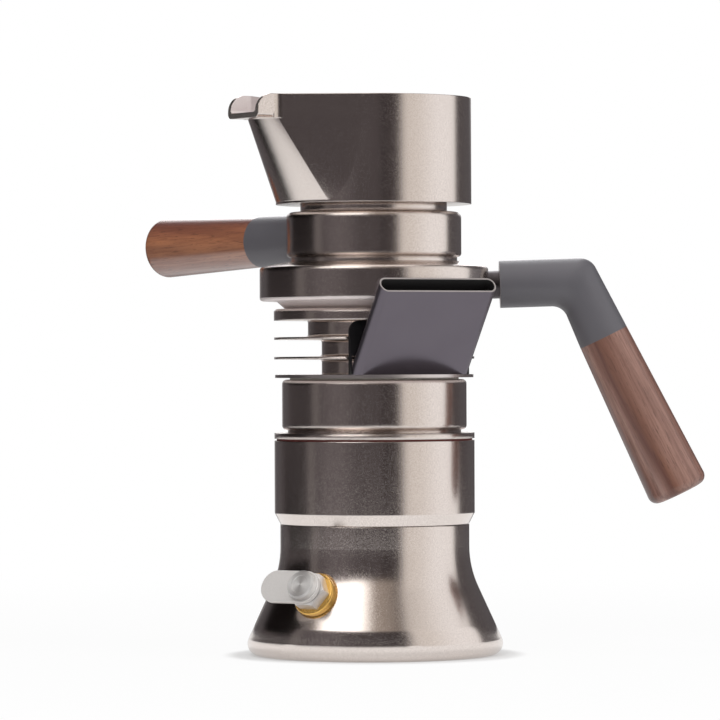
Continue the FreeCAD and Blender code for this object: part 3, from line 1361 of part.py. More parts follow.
def make_outlet_stem():
    stem = new_body("outlet_stem")
    turn(stem, "Stem", [
        ("stem_bore_radius", STEM_BOTTOM),
        ("stem_shank_radius", STEM_BOTTOM),
        ("stem_shank_radius", JUG_FLOOR_TOP),
        ("stem_flange_radius", JUG_FLOOR_TOP),
        ("stem_flange_radius", STEM_FLANGE_TOP),
        ("stem_radius", STEM_FLANGE_TOP),
        ("stem_radius", STEM_TOP),
        ("stem_bore_radius", STEM_TOP)])
    across = Rotation(Vector(0, 0, 1), value("spout_azimuth")) * Rotation(Vector(0, 1, 0), 90)
    level = f"{STEM_TOP} - stem_outlet_drop"
    outlet = Placement(vector("0", "0", level), across)
    cylinder(stem, "Outlet", "stem_outlet_radius", "stem_radius * 4", outlet * along_z("-2 * stem_radius"))
    dress(stem, "FlangeRound", "Fillet", "stem_flange_round",
          circles_at(("stem_flange_radius", STEM_FLANGE_TOP)))

    cap = new_body("stem_cap")
    top = f"({STEM_TOP} + stem_cap_height)"
    plug = "(stem_bore_radius - fixed_gap)"
    turn(cap, "Cap", [
        ("0", f"({STEM_TOP} - stem_cap_plug)"),
        (plug, f"({STEM_TOP} - stem_cap_plug)"),
        (plug, STEM_TOP),
        ("stem_cap_radius", STEM_TOP),
        ("stem_cap_radius", f"({top} - stem_cap_round)", "stem_cap_round", 1),
        ("(stem_cap_radius - stem_cap_round)", top),
        ("0", top)])


ELBOW_SECTIONS = 7


def grip(body, start, length, root_radius, end_radius, end_round, bore_depth):
    """A turned wooden grip that swells towards its rounded end, bored for its stud."""
    end = f"({start} + {length})"
    bore = "(stud_radius + fixed_gap)"
    turn(body, "Grip", [
        (bore, start),
        (root_radius, start),
        (end_radius, f"({end} - {end_round})", end_round, 1),
        (f"({end_radius} - {end_round})", end),
        ("0", end),
        ("0", f"({start} + {bore_depth} + fixed_gap * 4)"),
        (bore, f"({start} + {bore_depth} + fixed_gap * 4)")])


def elbow_section(angle):
    """Section of the elbow's bend after this turn in degrees: an ellipse that spans from the inner
    corner's arc to the outer corner's arc."""
    radius, drop = value("right_ferrule_radius"), value("right_drop_angle")
    half = math.radians(drop / 2)
    corner = Vector(0, 0, value("right_corner"))
    inwards = Vector(math.cos(half), 0, -math.sin(half))
    outwards = Vector(-math.cos(math.radians(angle)), 0, math.sin(math.radians(angle)))
    inner_round, outer_round = value("right_bend_inner_round"), value("right_bend_outer_round")
    inner = corner + inwards * ((radius + inner_round) / math.cos(half)) + outwards * inner_round
    outer = corner - inwards * ((radius - outer_round) / math.cos(half)) + outwards * outer_round
    centre = (inner + outer) * 0.5
    ellipse = Part.Ellipse(outer, centre + Vector(0, radius, 0), centre)
    return Part.Wire(ellipse.toShape())


def elbow_shape():
    """The right ferrule: a straight sleeve, a bend with tight corners and a branch that widens."""
    drop = value("right_drop_angle")
    way = Rotation(Vector(0, 1, 0), drop).multVec(Vector(0, 0, 1))
    start = Part.Circle(vector("0", "0", "right_ferrule_start"), Vector(0, 0, 1),
                        value("right_ferrule_radius"))
    end = Part.Circle(vector("0", "0", "right_corner") + way * value("right_branch_length"), way,
                      value("right_branch_radius"))
    sections = [elbow_section(drop * number / (ELBOW_SECTIONS - 1)) for number in range(ELBOW_SECTIONS)]
    sleeve = Part.makeLoft([Part.Wire(start.toShape()), sections[0]], True, True)
    bend = Part.makeLoft(sections, True, False)
    branch = Part.makeLoft([sections[-1], Part.Wire(end.toShape())], True, True)
    return sleeve.fuse([bend, branch])


def make_right_handle():
    frame = right_handle_frame()
    neck = new_body("right_handle_neck", frame)
    spigot_end = "(right_ferrule_start + right_spigot_length)"
    turn(neck, "Neck", [
        ("0", "right_neck_seat"),
        ("right_neck_radius", "right_neck_seat"),
        ("right_neck_radius", "right_ferrule_start"),
        ("right_spigot_radius", "right_ferrule_start"),
        ("right_spigot_radius", spigot_end),
        ("0", spigot_end)])

    elbow = new_body("right_handle_elbow", frame)
    bend = doc.addObject("Part::Feature", "ElbowBend")
    bend.Shape = elbow_shape()
    elbow.BaseFeature = bend
    doc.recompute()
    cylinder(elbow, "NeckSocket", "right_spigot_radius + fixed_gap", "right_spigot_length + fixed_gap * 4",
             along_z("right_ferrule_start"))
    drop = Rotation(Vector(0, 1, 0), value("right_drop_angle"))
    corner = along_z("right_corner") * Placement(Vector(), drop)
    cylinder(elbow, "StudSocket", "stud_radius + fixed_gap", "right_stud_in_ferrule + fixed_gap * 4",
             corner * along_z("right_branch_length - right_stud_in_ferrule - fixed_gap * 4"))

    wood = new_body("right_handle_grip", frame * corner)
    grip(wood, "right_branch_length", "right_grip_length", "right_branch_radius", "right_grip_radius",
         "right_grip_round", "right_stud_in_grip")

    stud = new_body("right_handle_stud", frame * corner)
    sketch = ring(stud, "StudCircle", "XY_Plane", "stud_radius",
                  offset="right_branch_length - right_stud_in_ferrule")
    raise_pad(stud, "Stud", sketch, "right_stud_in_ferrule + right_stud_in_grip")


def make_left_handle():
    frame = left_handle_frame()
    ferrule = new_body("left_handle_ferrule", frame)
    bore, root = "(stud_radius + fixed_gap)", "(left_stud_start + fixed_gap)"
    turn(ferrule, "Ferrule", [
        (bore, root),
        ("left_ferrule_root_radius", root),
        ("left_ferrule_radius", "left_ferrule_end"),
        (bore, "left_ferrule_end")])
    saddle = frame.inverse() * along_z(f"{LEFT_HANDLE_Z} - 2 * left_ferrule_radius")
    cylinder(ferrule, "Saddle", "ring_radius", "left_ferrule_radius * 4", saddle)

    wood = new_body("left_handle_grip", frame)
    grip(wood, "left_ferrule_end", "left_grip_length", "left_ferrule_radius", "left_grip_radius",
         "left_grip_round", "left_stud_in_grip")

    stud = new_body("left_handle_stud", frame)
    sketch = ring(stud, "StudCircle", "XY_Plane", "stud_radius", offset="left_stud_start")
    raise_pad(stud, "Stud", sketch, "left_ferrule_end + left_stud_in_grip - left_stud_start")


make_lower_boiler()
make_relief_valve()
make_upper_boiler()
make_pressure_valve()
make_heat_exchange_coil()
make_dome()
make_chimney()
make_heat_sink()
make_stack_screws()
make_collar()
make_basket()
make_head()
make_jug()
make_outlet_stem()
make_right_handle()
make_left_handle()

doc.recompute()
for item in doc.Objects:
    if "Invalid" in item.State or "Error" in item.State:
        raise RuntimeError(f"{item.Label} failed: {item.State}")
for node in nodes:
    if node.Shape.isNull() or not node.Shape.isValid() or not node.Shape.Solids:
        raise RuntimeError(f"{node.Label} has no valid solid")
os.makedirs("parts", exist_ok=True)
for node in nodes:
    node.Shape.exportStep(f"parts/{node.Label}.step")
print(f"{len(nodes)} nodes written")
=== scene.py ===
import json
import math

import bpy
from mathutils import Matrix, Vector


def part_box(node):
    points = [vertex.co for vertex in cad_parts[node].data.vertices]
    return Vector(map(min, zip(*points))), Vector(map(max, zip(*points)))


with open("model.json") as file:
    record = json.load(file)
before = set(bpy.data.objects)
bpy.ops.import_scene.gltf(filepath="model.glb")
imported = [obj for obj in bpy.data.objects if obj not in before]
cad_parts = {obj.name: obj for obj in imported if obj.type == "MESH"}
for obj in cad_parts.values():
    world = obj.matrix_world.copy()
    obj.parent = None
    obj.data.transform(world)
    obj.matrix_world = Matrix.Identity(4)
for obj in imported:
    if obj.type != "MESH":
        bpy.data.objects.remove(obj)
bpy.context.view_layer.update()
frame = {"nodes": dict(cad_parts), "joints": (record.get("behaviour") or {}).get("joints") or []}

# The picture: a long lens on the boilers' axis, level with the upper boiler.
CAMERA_DISTANCE = 1.98
METRES_PER_PIXEL = 0.00045
PICTURE_PIXELS = 720
AXIS_COLUMN = 374.2
EYE_HEIGHT = 0.1325
CAMERA_ROLL = math.radians(-0.22)
SENSOR_MILLIMETRES = 36
CAMERA_CLIP = (0.05, 50)

# Nearly all of a noise lies between these two values.
NOISE_RANGE = (0.3, 0.7)
# A wave texture's scale times the width of one wave in metres.
WAVE_UNIT = 0.314
# Size of the grain that bead blasting leaves, and of the specks in a coat or in rubber.
BLAST_GRAIN = 0.0005
SPECK = 0.0006
# Height of turning marks.
TURNING_RELIEF = 0.000012
# How often the worn edges are sampled at each point of the picture.
EDGE_SAMPLES = 6

# The rays for which the floor and the world look white.
SEEING_RAYS = ("Is Camera Ray", "Is Glossy Ray", "Is Transmission Ray")


class Graph:
    """A node tree, with short ways to add nodes and to link them."""

    def __init__(self, tree):
        self.tree = tree

    def node(self, kind, inputs=None, **settings):
        """A new node with these settings, and with these inputs linked or set."""
        made = self.tree.nodes.new(kind)
        for key, value in settings.items():
            setattr(made, key, value)
        for key, value in (inputs or {}).items():
            self.feed(made.inputs[key], value)
        return made

    def feed(self, socket, value):
        """Link an output to an input, or set the input's number or colour."""
        if isinstance(value, bpy.types.NodeSocket):
            self.tree.links.new(value, socket)
        else:
            socket.default_value = value

    def maths(self, operation, first, second=0.0):
        return self.node("ShaderNodeMath", {0: first, 1: second}, operation=operation).outputs[0]

    def span(self, factor, low, high, new_low, new_high, curve="LINEAR"):
        """Map a factor from one range to another."""
        made = self.node("ShaderNodeMapRange", {
            "Value": factor, "From Min": low, "From Max": high, "To Min": new_low, "To Max": new_high},
            interpolation_type=curve)
        return made.outputs["Result"]

    def rays(self, *kinds):
        """1 for these kinds of ray and 0 for the rest."""
        path = self.node("ShaderNodeLightPath")
        total = path.outputs[kinds[0]]
        for kind in kinds[1:]:
            total = self.maths("MAXIMUM", total, path.outputs[kind])
        return total


class Finish(Graph):
    """A node material round one Principled shader. Its patterns read the piece's own coordinates, seen from
    an origin and an axis of the piece, so that grain and turning marks follow it."""

    def __init__(self, name, origin=(0, 0, 0), axis=(0, 0, 1)):
        self.material = bpy.data.materials.new(name)
        self.material.use_nodes = True
        super().__init__(self.material.node_tree)
        self.shader = self.tree.nodes["Principled BSDF"]
        coords = self.node("ShaderNodeTexCoord")
        place = self.node("ShaderNodeMapping", {
            "Vector": coords.outputs["Object"], "Location": origin,
            "Rotation": Vector(axis).to_track_quat("Z", "Y").to_euler()}, vector_type="TEXTURE")
        self.place = place.outputs["Vector"]
        self.normal = None

    def shade(self, **values):
        """Link or set inputs of the shader, whose names are written with underscores."""
        for key, value in values.items():
            self.feed(self.shader.inputs[key.replace("_", " ")], value)

    def stretched(self, scale, vector=None):
        made = self.node("ShaderNodeMapping", {"Scale": scale, "Vector": vector or self.place})
        return made.outputs["Vector"]

    def noise(self, size, detail=2.0, harshness=0.5, vector=None):
        """Noise whose features are about this size in metres, with finer ones in this many steps."""
        return self.node("ShaderNodeTexNoise", {
            "Vector": vector or self.place, "Scale": 1 / size, "Detail": detail,
            "Roughness": harshness}).outputs["Fac"]

    def vary(self, noise, low, high):
        """A value that follows a noise from low to high."""
        return self.span(noise, *NOISE_RANGE, low, high)

    def rings(self, ridge, distortion):
        """Turning marks round the axis, this wide in metres."""
        return self.node("ShaderNodeTexWave", {
            "Vector": self.stretched((1, 1, 0)), "Scale": WAVE_UNIT / ridge, "Distortion": distortion,
            "Detail": 2}, wave_type="RINGS", rings_direction="Z").outputs["Fac"]

    def split(self):
        """The three coordinates of a place."""
        return self.node("ShaderNodeSeparateXYZ", {0: self.place}).outputs

    def ramp(self, factor, stops):
        """A colour for each place along a factor."""
        made = self.node("ShaderNodeValToRGB", {"Fac": factor})
        elements = made.color_ramp.elements
        while len(elements) < len(stops):
            elements.new(0.5)
        for element, (place, tone) in zip(elements, stops):
            element.position = place
            element.color = colour(*tone)
        return made.outputs["Color"]

    def mix(self, factor, first, second):
        """A blend of two colours, which are the node's inputs 6 and 7."""
        made = self.node("ShaderNodeMix", {"Factor": factor, 6: first, 7: second}, data_type="RGBA")
        return made.outputs[2]

    def round_edges(self, radius):
        self.normal = self.node("ShaderNodeBevel", {"Radius": radius}, samples=EDGE_SAMPLES).outputs["Normal"]

    def bump(self, height, depth, strength=1.0):
        """Add a relief of this depth in metres on top of the ones before it."""
        made = self.node("ShaderNodeBump", {"Distance": depth, "Strength": strength, "Height": height})
        if self.normal is not None:
            self.feed(made.inputs["Normal"], self.normal)
        self.normal = made.outputs["Normal"]
        self.feed(self.shader.inputs["Normal"], self.normal)


def colour(red, green, blue):
    """A colour written as screen values from 0 to 255, made linear."""
    linear = []
    for part in (red, green, blue):
        part = part / 255
        linear.append(part / 12.92 if part <= 0.04045 else ((part + 0.055) / 1.055) ** 2.4)
    return (*linear, 1.0)


def blasted_nickel(name, edge):
    """Bead-blasted nickel: warm, satin, with a fine sparkling grain and edges worn round by the blasting."""
    made = Finish(name)
    made.round_edges(edge)
    patches = made.noise(size=0.03, detail=3)
    grain = made.noise(BLAST_GRAIN, harshness=0.6)
    sparkle = made.span(made.noise(BLAST_GRAIN, detail=1), 0.5, 0.68, 0, 0.045)
    tone = made.mix(patches, colour(219, 208, 202), colour(211, 200, 194))
    tone = made.mix(made.vary(grain, 0, 1), tone, colour(234, 225, 219))
    made.shade(Metallic=1.0, Base_Color=tone,
               Roughness=made.maths("ADD", made.vary(grain, 0.15, 0.22), sparkle))
    made.bump(grain, depth=0.000001)
    made.bump(made.noise(size=0.006), depth=0.0000015)
    return made


# Between these heights the flare's shading turns softly into the foot, as if by a relief of this depth.
FOOT_SOFTENING = (0.0035, 0.0145)
FOOT_SOFTENING_DEPTH = 0.0027


def flared_nickel():
    """The same nickel, with the flare's lower edge rounded off further."""
    made = blasted_nickel("flared_nickel", edge=0.0005)
    rise = made.span(made.split()["Z"], *FOOT_SOFTENING, 0, 1, curve="SMOOTHSTEP")
    made.bump(rise, depth=FOOT_SOFTENING_DEPTH)
    return made


def dull_nickel():
    """The same nickel as it is on a cut end, a little duller."""
    made = blasted_nickel("dull_nickel", edge=0.0006)
    made.shade(Metallic=0.87)
    return made


def painted_light_nickel():
    """Nickel that is blasted matt, pale and with little metal sheen, so that the faces it is put on look
    bright: painted light, standing for the reflections such faces catch.
    """
    made = Finish("painted_light_nickel")
    grain = made.noise(SPECK, detail=3, harshness=0.6)
    made.shade(Metallic=0.3, Base_Color=made.mix(grain, colour(226, 214, 212), colour(240, 230, 228)),
               Roughness=made.vary(made.noise(size=0.004), 0.3, 0.4))
    return made


def turned_steel(name, origin=(0, 0, 0), axis=(0, 0, 1), tone=(214, 212, 210), rough=0.2, metallic=1.0):
    """Turned stainless steel with fine rings round its axis."""
    made = Finish(name, origin, axis)
    smear = made.noise(size=0.004, detail=3)
    dark = (part - 14 for part in tone)
    made.shade(Metallic=metallic, Base_Color=made.mix(smear, colour(*tone), colour(*dark)),
               Roughness=made.vary(smear, rough, rough + 0.1))
    made.bump(made.rings(ridge=0.00022, distortion=1.2), depth=TURNING_RELIEF, strength=0.5)
    return made


def turned_face(origin, axis):
    """A steel face turned flat. Its colour lightens in two opposite sectors round its axis: a painted sheen
    that stands for the bright highlights its rings throw.
    """
    made = Finish("turned_face", origin, axis)
    parts = made.split()
    angle = made.maths("ARCTAN2", parts["Y"], parts["X"])
    # Painted sheen: two light sectors round the axis, darker between them.
    painted_sheen_fans = made.maths("COSINE", made.maths("MULTIPLY", angle, 2.0))
    rings = made.rings(ridge=0.0003925, distortion=0.6)
    tone = made.mix(made.span(painted_sheen_fans, -1, 1, 0, 1), colour(176, 172, 170), colour(240, 238, 236))
    tone = made.mix(made.maths("MULTIPLY", rings, 0.3), tone, colour(150, 147, 145))
    made.shade(Metallic=0.5, Base_Color=tone, Roughness=made.vary(made.noise(size=0.002), 0.3, 0.4))
    made.bump(rings, depth=TURNING_RELIEF, strength=0.6)
    return made


def blasted_steel():
    """Stainless sheet with a fine matt blast."""
    made = Finish("blasted_steel")
    grain = made.noise(BLAST_GRAIN, harshness=0.6)
    made.shade(Metallic=0.25, Base_Color=made.mix(grain, colour(214, 210, 207), colour(230, 226, 223)),
               Roughness=made.vary(made.noise(size=0.003, detail=3), 0.42, 0.52))
    made.bump(grain, depth=0.00003, strength=0.5)
    return made


def turned_brass():
    """Brass with a slight stain."""
    made = Finish("turned_brass")
    stain = made.noise(size=0.005, detail=4)
    made.shade(Metallic=0.8, Base_Color=made.mix(stain, colour(240, 198, 116), colour(220, 168, 82)),
               Roughness=made.vary(stain, 0.2, 0.32))
    made.bump(made.noise(SPECK), depth=0.00001, strength=0.4)
    return made


def coated_sheet(name, tone, rough, metallic=0.0):
    """Sheet metal with a thin matt coat of fine texture."""
    made = Finish(name)
    cloud = made.noise(size=0.02, detail=3)
    light = (part + 8 for part in tone)
    made.shade(Metallic=metallic, Base_Color=made.mix(cloud, colour(*tone), colour(*light)),
               Roughness=made.vary(cloud, rough, rough + 0.06))
    made.bump(made.noise(SPECK, detail=3, harshness=0.6), depth=0.00002, strength=0.5)
    return made


def rubber(name, tone):
    """Moulded rubber with a slightly cloudy surface."""
    made = Finish(name)
    cloud = made.noise(size=0.004, detail=3)
    dark = (part - 12 for part in tone)
    made.shade(Base_Color=made.mix(cloud, colour(*tone), colour(*dark)),
               Roughness=made.vary(cloud, 0.5, 0.62))
    made.bump(made.noise(SPECK), depth=0.00002, strength=0.4)
    return made


# Half of a grip's thickness, over which its layers spread.
GRIP_RADIUS = 0.0135
# How far the layers wander to either side, as a share of the grip's thickness.
LAYER_SWAY = 0.175
# The scale of the wood's patterns along the grain, so the lower it is, the longer they are.
LAYER_STRETCH, FIGURE_STRETCH, FIBRE_STRETCH, PORE_STRETCH = 0.12, 0.06, 0.05, 0.09
# Tones of the grips' wood from one side to the other.
RIGHT_LAYERS = [(0.0, (128, 90, 78)), (0.16, (150, 110, 97)), (0.48, (154, 115, 101)), (0.6, (130, 86, 68)),
                (0.68, (96, 50, 34)), (0.76, (130, 88, 74)), (0.86, (164, 128, 116)), (0.94, (130, 86, 72)),
                (1.0, (88, 50, 40))]
LEFT_LAYERS = [(0.0, (142, 98, 78)), (0.18, (156, 104, 80)), (0.36, (172, 114, 80)), (0.55, (184, 118, 80)),
               (0.72, (160, 98, 70)), (0.86, (120, 66, 54)), (1.0, (136, 84, 68))]


def wood(name, origin, axis, across, layers, streak, shift, coat):
    """Oiled hardwood turned along its grain. Its layers cross the piece from one side to the other, and
    fibres, figure and pores run along it under a coat of oil. The shift moves all its patterns."""
    made = Finish(name, origin, axis)
    own_across = Vector(axis).to_track_quat("Z", "Y").inverted() @ Vector(across)
    side = made.node("ShaderNodeVectorMath", {0: made.place, 1: own_across}, operation="DOT_PRODUCT")
    moved = made.node("ShaderNodeVectorMath", {0: made.place, 1: shift}, operation="ADD").outputs["Vector"]

    def along_grain(stretch):
        return made.stretched((1, 1, stretch), moved)

    wander = made.noise(size=0.012, detail=3, vector=along_grain(LAYER_STRETCH))
    layer = made.span(side.outputs["Value"], -GRIP_RADIUS, GRIP_RADIUS, 0, 1)
    layer = made.maths("ADD", layer, made.span(wander, 0, 1, -LAYER_SWAY, LAYER_SWAY))
    figure = made.node("ShaderNodeTexWave", {
        "Vector": along_grain(FIGURE_STRETCH), "Scale": 90, "Distortion": 5.5, "Detail": 3,
        "Detail Scale": 1.6}, wave_type="BANDS", bands_direction="X").outputs["Fac"]
    fibre = made.noise(size=0.0011, detail=4, harshness=0.65, vector=along_grain(FIBRE_STRETCH))
    pores = made.span(made.noise(size=0.0005, vector=along_grain(PORE_STRETCH)), 0.6, 0.7, 0, 1)
    body = made.mix(made.span(figure, 0.3, 1.0, 0, 0.3), made.ramp(layer, layers), colour(*streak))
    body = made.mix(made.span(fibre, 0.42, 0.7, 0, 0.5), body, colour(*streak))
    body = made.mix(made.maths("MULTIPLY", pores, 0.5), body, colour(60, 32, 22))
    made.shade(Base_Color=body, Roughness=made.vary(fibre, 0.4, 0.55), Coat_Weight=coat, Coat_Roughness=0.2,
               Coat_IOR=1.75)
    made.bump(made.maths("SUBTRACT", 1.0, pores), depth=0.00006, strength=0.5)
    made.bump(fibre, depth=0.00005, strength=0.35)
    return made


def middle(node):
    """Centre of a CAD node's box."""
    low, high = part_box(node)
    return (low + high) / 2


def paint(finish, *nodes):
    """Give whole CAD nodes a finish."""
    for node in nodes:
        for slot in frame["nodes"][node].material_slots:
            slot.material = finish.material


def paint_faces(node, *finishes):
    """Give some faces of a CAD node a finish of their own. Each finish comes with a test of a face's centre
    and normal, and a face takes the first finish whose test it passes."""
    mesh = frame["nodes"][node].data
    own_slots = len(mesh.materials)
    for finish, _ in finishes:
        mesh.materials.append(finish.material)
    for face in mesh.polygons:
        passed = [number for number, (_, test) in enumerate(finishes) if test(face.center, face.normal)]
        if passed:
            face.material_index = own_slots + passed[0]


# A face looks some way where its normal has at least this share of it.
JUG_INWARD = 0.1
SPOUT_OUTWARD = 0.3
ELBOW_INWARD = 0.6
DUCT_ALONG = 0.8
# A face doesn't look some way where its normal has less than this share of it.
DUCT_ACROSS = 0.2
NECK_SIDEWAYS = 0.2
# Length of the spout's cut end, its cheeks' rounded corners included.
SPOUT_END = 0.005
# Height of the collar's conical neck.
COLLAR_NECK_HEIGHT = 0.006
# Length of the elbow's end that is searched for its cut face.
ELBOW_END = 0.003
# Where the chimney leans, counted from the right handle, and by how much.
CHIMNEY_AZIMUTH = math.radians(297.5)
CHIMNEY_LEAN = math.radians(35.5)


def paint_jug(matt):
    """The jug's walls are matt and pale inside, which is painted light, and the spout's cut end is duller
    than the rest.
    """
    points = [vertex.co for vertex in frame["nodes"]["jug"].data.vertices]
    tip = max(points, key=lambda point: point.xy.length)
    spout_way = Vector((tip.x, tip.y, 0)).normalized()

    def is_inside(centre, normal):
        return normal.dot(Vector((centre.x, centre.y, 0)).normalized()) < -JUG_INWARD

    def is_end(centre, normal):
        return (normal.dot(spout_way) > SPOUT_OUTWARD
                and centre.dot(spout_way) > tip.dot(spout_way) - SPOUT_END)

    paint_faces("jug", (matt, is_inside), (dull_nickel(), is_end))


def paint_collar_neck(matt):
    """The collar's neck is matt and pale: painted light."""
    neck_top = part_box("group_collar")[0].z + COLLAR_NECK_HEIGHT

    def is_neck(centre, normal):
        return normal.z < NECK_SIDEWAYS and centre.z < neck_top

    paint_faces("group_collar", (matt, is_neck))


def paint_elbow_end():
    """The elbow's cut end is uncoated metal; its near white tone with little metal sheen is a painted
    highlight.
    """
    # Painted highlight: the cut end gets a near white, mostly diffuse steel.
    lit_bare_end = turned_steel("elbow_end_painted_highlight", axis=(1, 0, 0), tone=(236, 234, 234), rough=0.3, metallic=0.2)
    inner_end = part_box("right_handle_elbow")[0].x + ELBOW_END

    def is_end(centre, normal):
        return normal.x < -ELBOW_INWARD and centre.x < inner_end

    paint_faces("right_handle_elbow", (lit_bare_end, is_end))


def paint_chimney():
    """Grey coat outside, painted shade inside, and a lighter steel edge round the mouth that is a painted
    highlight.
    """
    along = Vector((math.sin(CHIMNEY_LEAN) * math.cos(CHIMNEY_AZIMUTH),
                    math.sin(CHIMNEY_LEAN) * math.sin(CHIMNEY_AZIMUTH), math.cos(CHIMNEY_LEAN)))
    duct_middle = middle("chimney")

    def is_inside(centre, normal):
        offset = centre - duct_middle
        outward = offset - along * offset.dot(along)
        return abs(normal.dot(along)) < DUCT_ACROSS and normal.dot(outward) < 0

    def is_mouth(centre, normal):
        return normal.dot(along) > DUCT_ALONG

    paint(coated_sheet("grey_duct", (102, 96, 104), rough=0.3, metallic=0.85), "chimney")
    # Painted shade: a near-black coat on the faces inside the duct. Painted highlight: a light steel on the
    # mouth's edge.
    paint_faces("chimney",
                (coated_sheet("painted_shade_duct", (22, 20, 21), rough=0.6), is_inside),
                (turned_steel("painted_highlight_edge", tone=(190, 184, 182), rough=0.35, metallic=0.6), is_mouth))


def paint_castings():
    """The castings are blasted nickel, some with edges that are worn further."""
    paint(flared_nickel(), "lower_boiler")
    paint(blasted_nickel("blasted_nickel", edge=0.0006), "upper_boiler", "jug")
    paint(blasted_nickel("finned_nickel", edge=0.0012), "heat_sink")
    paint(blasted_nickel("soft_edged_nickel", edge=0.0022), "boiler_dome", "group_collar", "head_ring")
    # The pale nickel is painted light: on the jug's inside and the collar's neck it makes these faces look
    # bright.
    matt = painted_light_nickel()
    paint_jug(matt)
    paint_collar_neck(matt)


def paint_relief_valve():
    """Steel on a brass bush. Its turning marks run round its leaning axis, through the middle of its cap."""
    joint = next(item for item in frame["joints"] if item["name"] == "relief_lift")
    origin, axis = middle("relief_valve_cap"), Vector(joint["axis"])
    paint(turned_face(origin, axis), "relief_valve_cap", "relief_valve_plunger")
    paint(turned_steel("valve_steel", origin, axis, tone=(226, 223, 221), rough=0.28, metallic=0.6),
          "relief_valve_body")
    paint(blasted_steel(), "relief_valve_tab")


def paint_fittings():
    """Turned parts, springs, sheet and seals."""
    paint(turned_brass(), "relief_valve_bush", "pressure_valve_body", "pressure_valve_nut",
          "pressure_valve_cap")
    paint(turned_steel("stem_steel"), "outlet_stem", "stem_cap", "coffee_basket", "group_screen",
          "head_screen", "inlet_filter", "pickup_tube", "pressure_valve_piston", "heat_exchange_coil")
    paint(turned_steel("dark_steel", tone=(120, 116, 116), rough=0.3), "relief_valve_spring",
          "pressure_valve_spring", "stack_screws", "right_handle_stud", "left_handle_stud")
    paint(turned_steel("plate_steel", tone=(222, 215, 214), rough=0.3), "chimney_plate")
    paint(coated_sheet("black_sheet", (24, 23, 25), rough=0.34), "chimney_shield")
    paint(rubber("red_seal", (110, 44, 38)), "lid_seal")
    paint(rubber("white_seal", (214, 210, 202)), "boiler_gasket", "plate_seal", "group_gasket", "head_gasket",
          "stem_seal", "relief_valve_seal")


def grip_axis(side):
    """Start and direction of a grip: the middle of its stud, and from there to the middle of the grip."""
    start = middle(f"{side}_handle_stud")
    return start, (middle(f"{side}_handle_grip") - start).normalized()


def paint_handles():
    """Wooden grips on grey metal."""
    paint(turned_steel("black_steel", axis=(1, 0, 0), tone=(84, 80, 82), rough=0.3), "right_handle_neck")
    paint(coated_sheet("grey_ferrule", (92, 90, 95), rough=0.42), "right_handle_elbow", "left_handle_ferrule")
    paint_elbow_end()
    start, way = grip_axis("right")
    across = -way.cross((0, 1, 0)).normalized()
    paint(wood("walnut", start, way, across, RIGHT_LAYERS, streak=(92, 52, 40),
               shift=(0.31, 0.217, 0), coat=0.3), "right_handle_grip")
    start, way = grip_axis("left")
    paint(wood("warm_walnut", start, way, (0, 0, 1), LEFT_LAYERS, streak=(108, 58, 46),
               shift=(0.13, 0.091, 0), coat=1.0), "left_handle_grip")


# The studio that the metal mirrors. Angles go round from the front, positive to the right, and elevations
# up from the horizon, both in degrees. Each panel lies over the ones before it: where it starts, is full, is
# full no more and ends, first round the object and then in height, and its tone.
STUDIO_RADIUS = 1.3
STUDIO_CENTRE = 0.1
STUDIO_LOW, STUDIO_TOP, STUDIO_STEP = -6, 90, 3
WALL = (0.078, 0.068, 0.071)
PANELS = [
    ("pale_flag", (-78, -52, -42, -14), (-10, -9, 70, 80), (0.135, 0.12, 0.125)),
    ("dim_gap", (2, 12, 22, 30), (-10, -9, 60, 75), (0.052, 0.044, 0.046)),
    ("black_flag", (-156, -138, -92, -70), (0, 7, 44, 56), (0.005, 0.004, 0.004)),
    ("top_flag", (-14, 0, 22, 40), (56, 66, 90, 91), (0.03, 0.026, 0.026)),
    ("pale_stripe", (-86, -81, -76, -68), (-10, -9, 30, 40), (0.17, 0.155, 0.155)),
    ("soft_box", (26, 39, 107, 114), (-10, -9, 32, 70), (0.80, 0.76, 0.72)),
    ("soft_box_core", (44, 84, 106, 113), (-10, -9, 26, 58), (1.0, 0.99, 0.99)),
    ("right_wall", (118, 138, 150, 170), (-10, -9, 30, 50), (0.1, 0.092, 0.097)),
    ("left_wall", (-185, -172, -140, -128), (-10, -9, 6, 14), (0.1, 0.092, 0.097)),
    ("backdrop", (152, 176, 184, 208), (6, 20, 90, 91), (3.2, 3.2, 3.25)),
    ("low_backdrop", (166, 178, 182, 194), (-10, -9, 6, 20), (0.8, 0.8, 0.8)),
    ("left_slit", (-170, -166, -162, -158), (-10, -9, 8, 12), (0.3, 0.29, 0.29)),
    ("low_black_flag", (-132, -120, -90, -72), (-11, -10, -3.8, -2.2), (0.004, 0.003, 0.003)),
    ("brown_box", (-78, -62, 8, 44), (28, 30, 60, 66), (0.36, 0.31, 0.27)),
    ("bright_box", (-70, -54, -24, 2), (28, 30, 60, 66), (2.3, 2.25, 2.2)),
    ("zenith", (-200, -190, 190, 200), (62, 70, 91, 92), (1.5, 1.43, 1.4)),
]
# Nearer than this the mirrors see the floor itself, and further out the dark surroundings lie over it.
APRON_RADII = (0.36, 0.5)
APRON_STEPS = 8
APRON_HEIGHT = 0.003

SOFT_LIGHT = 0.45
FLOOR_TONE = 0.86
FLOOR_HALF = 6.0
# Share of plain white in the floor's look beside the object, and the distances over which it grows to 1.
FLOOR_WHITE = 0.94
FLOOR_FADE = (0.18, 0.75)
# Close to the foot the floor shows more of its own shading, for a dark line of contact.
CONTACT_WHITE = 0.35
CONTACT_FADE = (0.061, 0.07)


def around(angle, radius, height):
    """A point at this angle from the front, positive to the right."""
    turn = math.radians(angle)
    return (radius * math.sin(turn), -radius * math.cos(turn), height)


def smooth_step(value):
    """A soft ramp from 0 to 1."""
    value = min(max(value, 0.0), 1.0)
    return value * value * (3 - 2 * value)


